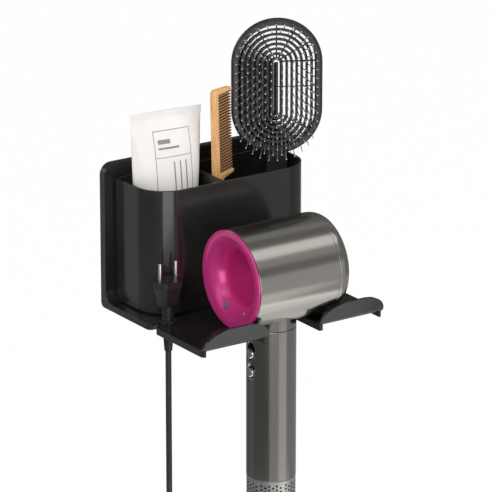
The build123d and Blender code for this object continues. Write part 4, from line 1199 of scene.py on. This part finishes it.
def toothTree():
    # Repeats one tooth down the comb
    tree, given = newTree("toothRow", {"Tooth": "Object", "Teeth": "Int", "Start": "Vector",
                                       "End": "Vector", "Finish": "Material"})
    line = addNode(tree, "GeometryNodeCurvePrimitiveLine", {"Start": given["Start"], "End": given["End"]})
    spots = addNode(tree, "GeometryNodeCurveToPoints", {"Curve": line.outputs[0], "Count": given["Teeth"]})
    tooth = addNode(tree, "GeometryNodeObjectInfo", {"Object": given["Tooth"], "As Instance": True})
    row = addNode(tree, "GeometryNodeInstanceOnPoints", {
        "Points": spots.outputs[0], "Instance": tooth.outputs["Geometry"]})
    both = joinedNodes(tree, row.outputs[0], given["Geometry"])
    real = addNode(tree, "GeometryNodeRealizeInstances", {0: both.outputs[0]})
    addNode(tree, "NodeGroupOutput", {0: dressedNode(tree, real, given["Finish"]).outputs[0]})
    return tree


def roundCorner(before, corner, after, radius):
    # Points of an arc that rounds one corner of an outline
    corner = Vector(corner)
    into = (Vector(before) - corner).normalized()
    out = (Vector(after) - corner).normalized()
    half = into.angle(out) / 2
    reach = radius / math.tan(half)
    middle = corner + (into + out).normalized() * (radius / math.sin(half))
    start, end = corner + into * reach, corner + out * reach
    made = []
    for k in range(7):
        spoke = ((start - middle) * (1 - k / 6) + (end - middle) * (k / 6)).normalized()
        made.append(middle + spoke * radius)
    return made


def makeComb():
    size = combSizes
    plane, foot = combPlane()
    head, wide, spine, handle = -size["head"], size["width"], size["spine"], size["handle"]
    topInner, footInner = -size["topSlant"], head + size["footSlant"]
    guardTop, guardFoot = topInner - size["guard"], footInner + size["guard"]
    corner, step = size["corner"], size["stepCorner"]
    top, tip, toe, heel = (0, 0), (wide, topInner), (wide, footInner), (handle, head)
    grip, end = (handle, foot), (0, foot)
    outline = roundCorner(end, top, tip, corner)
    outline += roundCorner(top, tip, (wide, guardTop), size["tipCorner"])
    outline += [(wide, guardTop), (spine, guardTop), (spine, guardFoot), (wide, guardFoot)]
    outline += roundCorner((wide, guardFoot), toe, heel, step) + roundCorner(toe, heel, grip, step)
    outline += roundCorner(heel, grip, end, corner) + roundCorner(grip, end, top, corner)
    half = size["thickness"] / 2
    rings = [[(x, y, z) for x, y in outline] for z in (-half, half)]
    comb = bevelled(skinned("woodenComb", rings, beechWood, 35), size["edge"])
    solidified(comb)
    pitch = (guardTop - guardFoot) / size["teeth"]
    tooth = toothMesh(pitch)
    growBy(comb, toothTree(), {
        "Tooth": tooth, "Teeth": size["teeth"], "Start": Vector((spine, guardFoot + pitch / 2, 0)),
        "End": Vector((spine, guardTop - pitch / 2, 0)), "Finish": beechWood})
    bpy.data.objects.remove(tooth)
    # Painted shade: the sawn faces between the teeth take the darker beech, which stands in for the shade
    # in the gaps
    comb.data.materials.append(kerfBeech)
    for face in comb.data.polygons:
        among = face.center.x > spine and guardFoot < face.center.y < guardTop
        if among and abs(face.normal.y) > size["sawnFacing"]:
            face.material_index = 1
    comb.data.transform(plane)
    comb.data.set_sharp_from_angle(angle=math.radians(40))
    return place(comb, "comb", "comb_wood", "wooden_comb")


# Brush: rounded border, fanned fins between oval slots and bristles grown by nodes
brushSizes = {"turn": -28.0, "width": 68 * mm, "length": 107 * mm, "border": 4.8 * mm, "slots": 8,
              "slot": 1.7 * mm, "pitch": 3.73 * mm, "front": 1.2 * mm, "deep": 4.2 * mm,
              "core": 0.9 * mm, "eye": 0.02 * mm, "steps": 20, "edge": 0.4 * mm, "bar": 1.0 * mm,
              "barFront": 0.5 * mm, "barBack": 0.35 * mm, "barInset": 0.1 * mm, "hub": 2 * mm,
              "bandEdge": 0.25 * mm, "bandFace": 0.2 * mm, "frameEdge": 0.25 * mm,
              "bristle": 18.5 * mm, "root": 0.2 * mm, "stem": 0.46 * mm, "stemTaper": 0.7,
              "ball": 0.56 * mm, "gap": 0.15 * mm, "spacing": 5.7 * mm, "fanAcross": 18.0,
              "fanUp": 25.0, "leanAcross": -7.0, "leanUp": 4.0}


def brushPlane():
    # Local x across the plate, local y up it, local z out of its face
    size = brushSizes
    low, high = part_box("brush_pad")
    middle = (low + high) / 2
    turn = math.radians(size["turn"])
    across = Vector((math.cos(turn), math.sin(turn), 0))
    out = across.cross(Vector((0, 0, 1)))
    middle.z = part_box("brush_frame")[1].z - size["length"] / 2
    upright = Matrix((across, Vector((0, 0, 1)), out)).transposed()
    # Brought to the middle of the pad's width, a little behind its front face
    points = [upright.transposed() @ (v.co - middle) for v in frame["nodes"]["brush_pad"].data.vertices]
    front = max(p.z for p in points)
    middle += out * (front - size["front"])
    middle += across * ((max(p.x for p in points) + min(p.x for p in points)) / 2)
    return Matrix.Translation(middle) @ upright.to_4x4()


def padHalf():
    return brushSizes["width"] / 2 - brushSizes["border"] - brushSizes["gap"]


def ovalStraight():
    return (brushSizes["length"] - brushSizes["width"]) / 2


def ovalRing(radius, steps):
    # Points round an upright oval of that half width
    ring = []
    for end, base in ((ovalStraight(), 0), (-ovalStraight(), 180)):
        ring += arcPoints((0, end), radius, base, base + 180, steps)
        # Extra points down the straight side keep the faces even
        x = -radius if end > 0 else radius
        ring += [(x, end * (1 - k / 3)) for k in range(1, 6)]
    return ring


finLean = {"leftFrom": 6 * mm, "leftRun": 9 * mm, "lowFrom": -16 * mm, "lowRun": 16 * mm,
           "across": 0.1, "acrossLeft": 0.42, "up": -0.34, "upLow": 0.4}


def finShift(x, y):
    # The fins lean, so air and light pass through on one side and the other side looks closed
    left = eased((finLean["leftFrom"] - x) / finLean["leftRun"])
    low = eased((finLean["lowFrom"] - y) / finLean["lowRun"])
    return finLean["across"] - finLean["acrossLeft"] * left, finLean["up"] - finLean["upLow"] * low


def makePad(plane):
    size = brushSizes
    half, edge, deep = padHalf(), size["bandEdge"], size["deep"]
    bands = []
    outer = half
    for number in range(size["slots"]):
        middle = half - size["edge"] - size["slot"] / 2 - size["pitch"] * number
        bands.append((outer, middle + size["slot"] / 2))
        outer = middle - size["slot"] / 2
    bands.append((size["core"], size["eye"]))
    bm = bmesh.new()
    for number, (outer, inner) in enumerate(bands):
        loops = []
        for radius, depth in ((inner, edge), (inner + size["bandFace"], 0), (outer - edge, 0),
                              (outer, edge), (outer, deep), (inner, deep)):
            loop = []
            for x, y in ovalRing(radius, size["steps"]):
                # Every band but the rim leans at its back
                dx, dy = finShift(x, y) if depth == deep and number else (0, 0)
                loop.append(plane @ Vector((x + dx * deep, y + dy * deep, size["front"] - depth)))
            loops.append(loop)
        skin(bm, loops, looped=True)
    # Slim struts behind hold the fins together
    inset = half - size["barInset"]
    for angle in range(0, 360, 30):
        turn = math.radians(angle)
        way = Vector((math.cos(turn), math.sin(turn), 0))
        hub = Vector((0, ovalStraight() * (1 if 0 <= angle < 180 else -1), 0))
        strut(bm, plane, hub + way * size["hub"], hub + way * inset, size["bar"])
    strut(bm, plane, Vector((-inset, 0, 0)), Vector((inset, 0, 0)), size["bar"] / 2)
    pad = objectFrom("ventedPad", meshFrom("ventedPad", bm), brushAbs, 40)
    return place(pad, "brush", "brush_black", "brush_pad")


def strut(bm, plane, start, end, width):
    size = brushSizes
    way = (end - start).normalized()
    side = Vector((-way.y, way.x, 0)) * width / 2
    corners = [start + side, start - side, end - side, end + side]
    back = size["front"] - size["deep"]
    skin(bm, [[plane @ Vector((c.x, c.y, z)) for c in corners]
              for z in (back + size["barFront"], back - size["barBack"])])


def bristleTree():
    # Grows a pin on every point, fanned out by where it stands; the tips get their own finish
    tree, given = newTree("bristleField", {
        "Length": "Float", "Stem Radius": "Float", "Ball Radius": "Float", "Half Width": "Float",
        "Half Height": "Float", "Fan Across": "Float", "Fan Up": "Float", "Lean Across": "Float",
        "Lean Up": "Float", "Stem Finish": "Material", "Tip Finish": "Material"})
    maths = partial(combine, tree)
    position = addNode(tree, "GeometryNodeInputPosition").outputs[0]
    spot = addNode(tree, "ShaderNodeSeparateXYZ", {0: position}).outputs
    tiltAcross = maths("MULTIPLY", maths("DIVIDE", spot[0], given["Half Width"]), given["Fan Across"])
    tiltUp = maths("MULTIPLY", maths("DIVIDE", spot[1], given["Half Height"]), given["Fan Up"])
    leanUp = maths("ADD", tiltUp, given["Lean Up"])
    turn = addNode(tree, "ShaderNodeCombineXYZ", {
        0: maths("MULTIPLY", leanUp, -1.0), 1: maths("ADD", tiltAcross, given["Lean Across"])})
    tipRadius = maths("MULTIPLY", given["Stem Radius"], brushSizes["stemTaper"])
    stem = addNode(tree, "GeometryNodeMeshCone", {
        "Vertices": 6, "Radius Top": tipRadius, "Radius Bottom": given["Stem Radius"],
        "Depth": given["Length"]}, fill_type="NGON")
    ball = addNode(tree, "GeometryNodeMeshUVSphere", {
        "Segments": 6, "Rings": 4, "Radius": given["Ball Radius"]})
    top = addNode(tree, "ShaderNodeCombineXYZ", {2: given["Length"]})
    lifted = addNode(tree, "GeometryNodeTransform", {
        "Geometry": ball.outputs[0], "Translation": top.outputs[0]})
    pin = joinedNodes(tree, dressedNode(tree, stem, given["Stem Finish"]).outputs[0],
                      dressedNode(tree, lifted, given["Tip Finish"]).outputs[0])
    pins = addNode(tree, "GeometryNodeInstanceOnPoints", {
        "Points": given["Geometry"], "Instance": pin.outputs[0], "Rotation": turn.outputs[0]})
    real = addNode(tree, "GeometryNodeRealizeInstances", {0: pins.outputs[0]})
    addNode(tree, "NodeGroupOutput", {0: real.outputs[0]})
    return tree


def makeBristles(plane):
    # Roots stand on the fins; tips are little pale balls
    size = brushSizes
    straight = ovalStraight()
    bm = bmesh.new()
    for number in range(size["slots"] - 1):
        radius = padHalf() - size["edge"] - size["slot"] - size["pitch"] * number
        radius -= (size["pitch"] - size["slot"]) / 2
        whole = 4 * straight + 2 * math.pi * radius
        count = round(whole / size["spacing"])
        for step in range(count):
            x, y = ovalPoint(radius, straight, (step + 0.5 * (number % 2)) / count * whole)
            bm.verts.new((x, y, size["front"] - size["root"]))
    roots = objectFrom("bristles", meshFrom("bristles", bm, recalc=False), bristleNylon)
    growBy(roots, bristleTree(), {
        "Length": size["bristle"], "Stem Radius": size["stem"], "Ball Radius": size["ball"],
        "Half Width": size["width"] / 2, "Half Height": size["length"] / 2,
        "Fan Across": math.radians(size["fanAcross"]), "Fan Up": math.radians(size["fanUp"]),
        "Lean Across": math.radians(size["leanAcross"]), "Lean Up": math.radians(size["leanUp"]),
        "Stem Finish": bristleNylon, "Tip Finish": paleNylon})
    roots.data.transform(plane)
    for face in roots.data.polygons:
        face.use_smooth = True
    return place(roots, "brush", "brush_bristle", "brush_bristles")


def ovalPoint(radius, straight, along):
    side, bend = 2 * straight, math.pi * radius
    if along < side:
        return radius, along - straight
    if along < side + bend:
        angle = (along - side) / radius
        return radius * math.cos(angle), straight + radius * math.sin(angle)
    x, y = ovalPoint(radius, straight, along - side - bend)
    return -x, -y


def makeBrush():
    plane = brushPlane()
    body = bevelled(cadCopy("brush_frame", "brushFrame", brushAbs, 35), brushSizes["frameEdge"])
    place(solidified(body), "brush", "brush_black", "brush_frame")
    makePad(plane)
    makeBristles(plane)


# Plug: tapered grip with a six-sided face plate, ribbed relief and two round pins
plugEdges = {"body": 0.35 * mm, "relief": 0.12 * mm}


def makePlug():
    body = bevelled(cadCopy("plug_body", "plugBody", plugPvc, 35), plugEdges["body"])
    relief = bevelled(cadCopy("plug_relief", "plugRelief", plugPvc, 50), plugEdges["relief"], segments=1)
    pins = cadCopy("plug_pins", "plugPins", brightNickelPlate, 45)
    return [place(solidified(body), "bracket", "plug_rubber", "plug_body"),
            place(solidified(relief), "bracket", "plug_rubber", "plug_relief"),
            place(solidified(pins), "bracket", "plug_pin_metal", "plug_pins")]


# Working parts inside the dryer keep their solids and get their own finishes
innerFinishes = {
    "heater_ring": heaterMica, "control_board": boardGreen, "switch_bezel": blackNylon,
    "handle_duct": blackNylon, "handle_end_plate": blackNylon, "motor_housing": turnedAluminium,
    "motor_bearings": groundSteel, "motor_mounts": softRubber, "motor_shaft": groundSteel,
    "impeller": turnedAluminium, "filter_mesh": darkMesh,
}


def dressInside():
    for node, finish in innerFinishes.items():
        solid = frame["nodes"][node]
        solid.data.materials.clear()
        solid.data.materials.append(finish)


cable, cablePath, cableLength, strap = makeLead()
headAt = headPlace()
makeHeadShell(headAt)
makeBell(headAt)
makeSeal(headAt)
makeOutletRing(headAt)
makeRearButton("speed_button", "speedKey")
makeRearButton("heat_button", "heatKey")
print("head built")
sleeveAt = handlePlace()
makeSleeve(sleeveAt)
makeControl("power_switch", "powerSwitch")
makeControl("cool_shot_button", "coolShotButton")
makeCage()
makeGland()
dressInside()
print("handle built")
makeShells()
tubeAt = tubePlace()
makeTube(tubeAt)
makePrint(tubeAt)
makeCap(tubeAt)
makeBrush()
makeComb()
cordPieces = makePlug() + [strap]
makeCollar(sleeveAt)
print("caddy filled")

endOf("cord_gland", False)

print("station dressed")
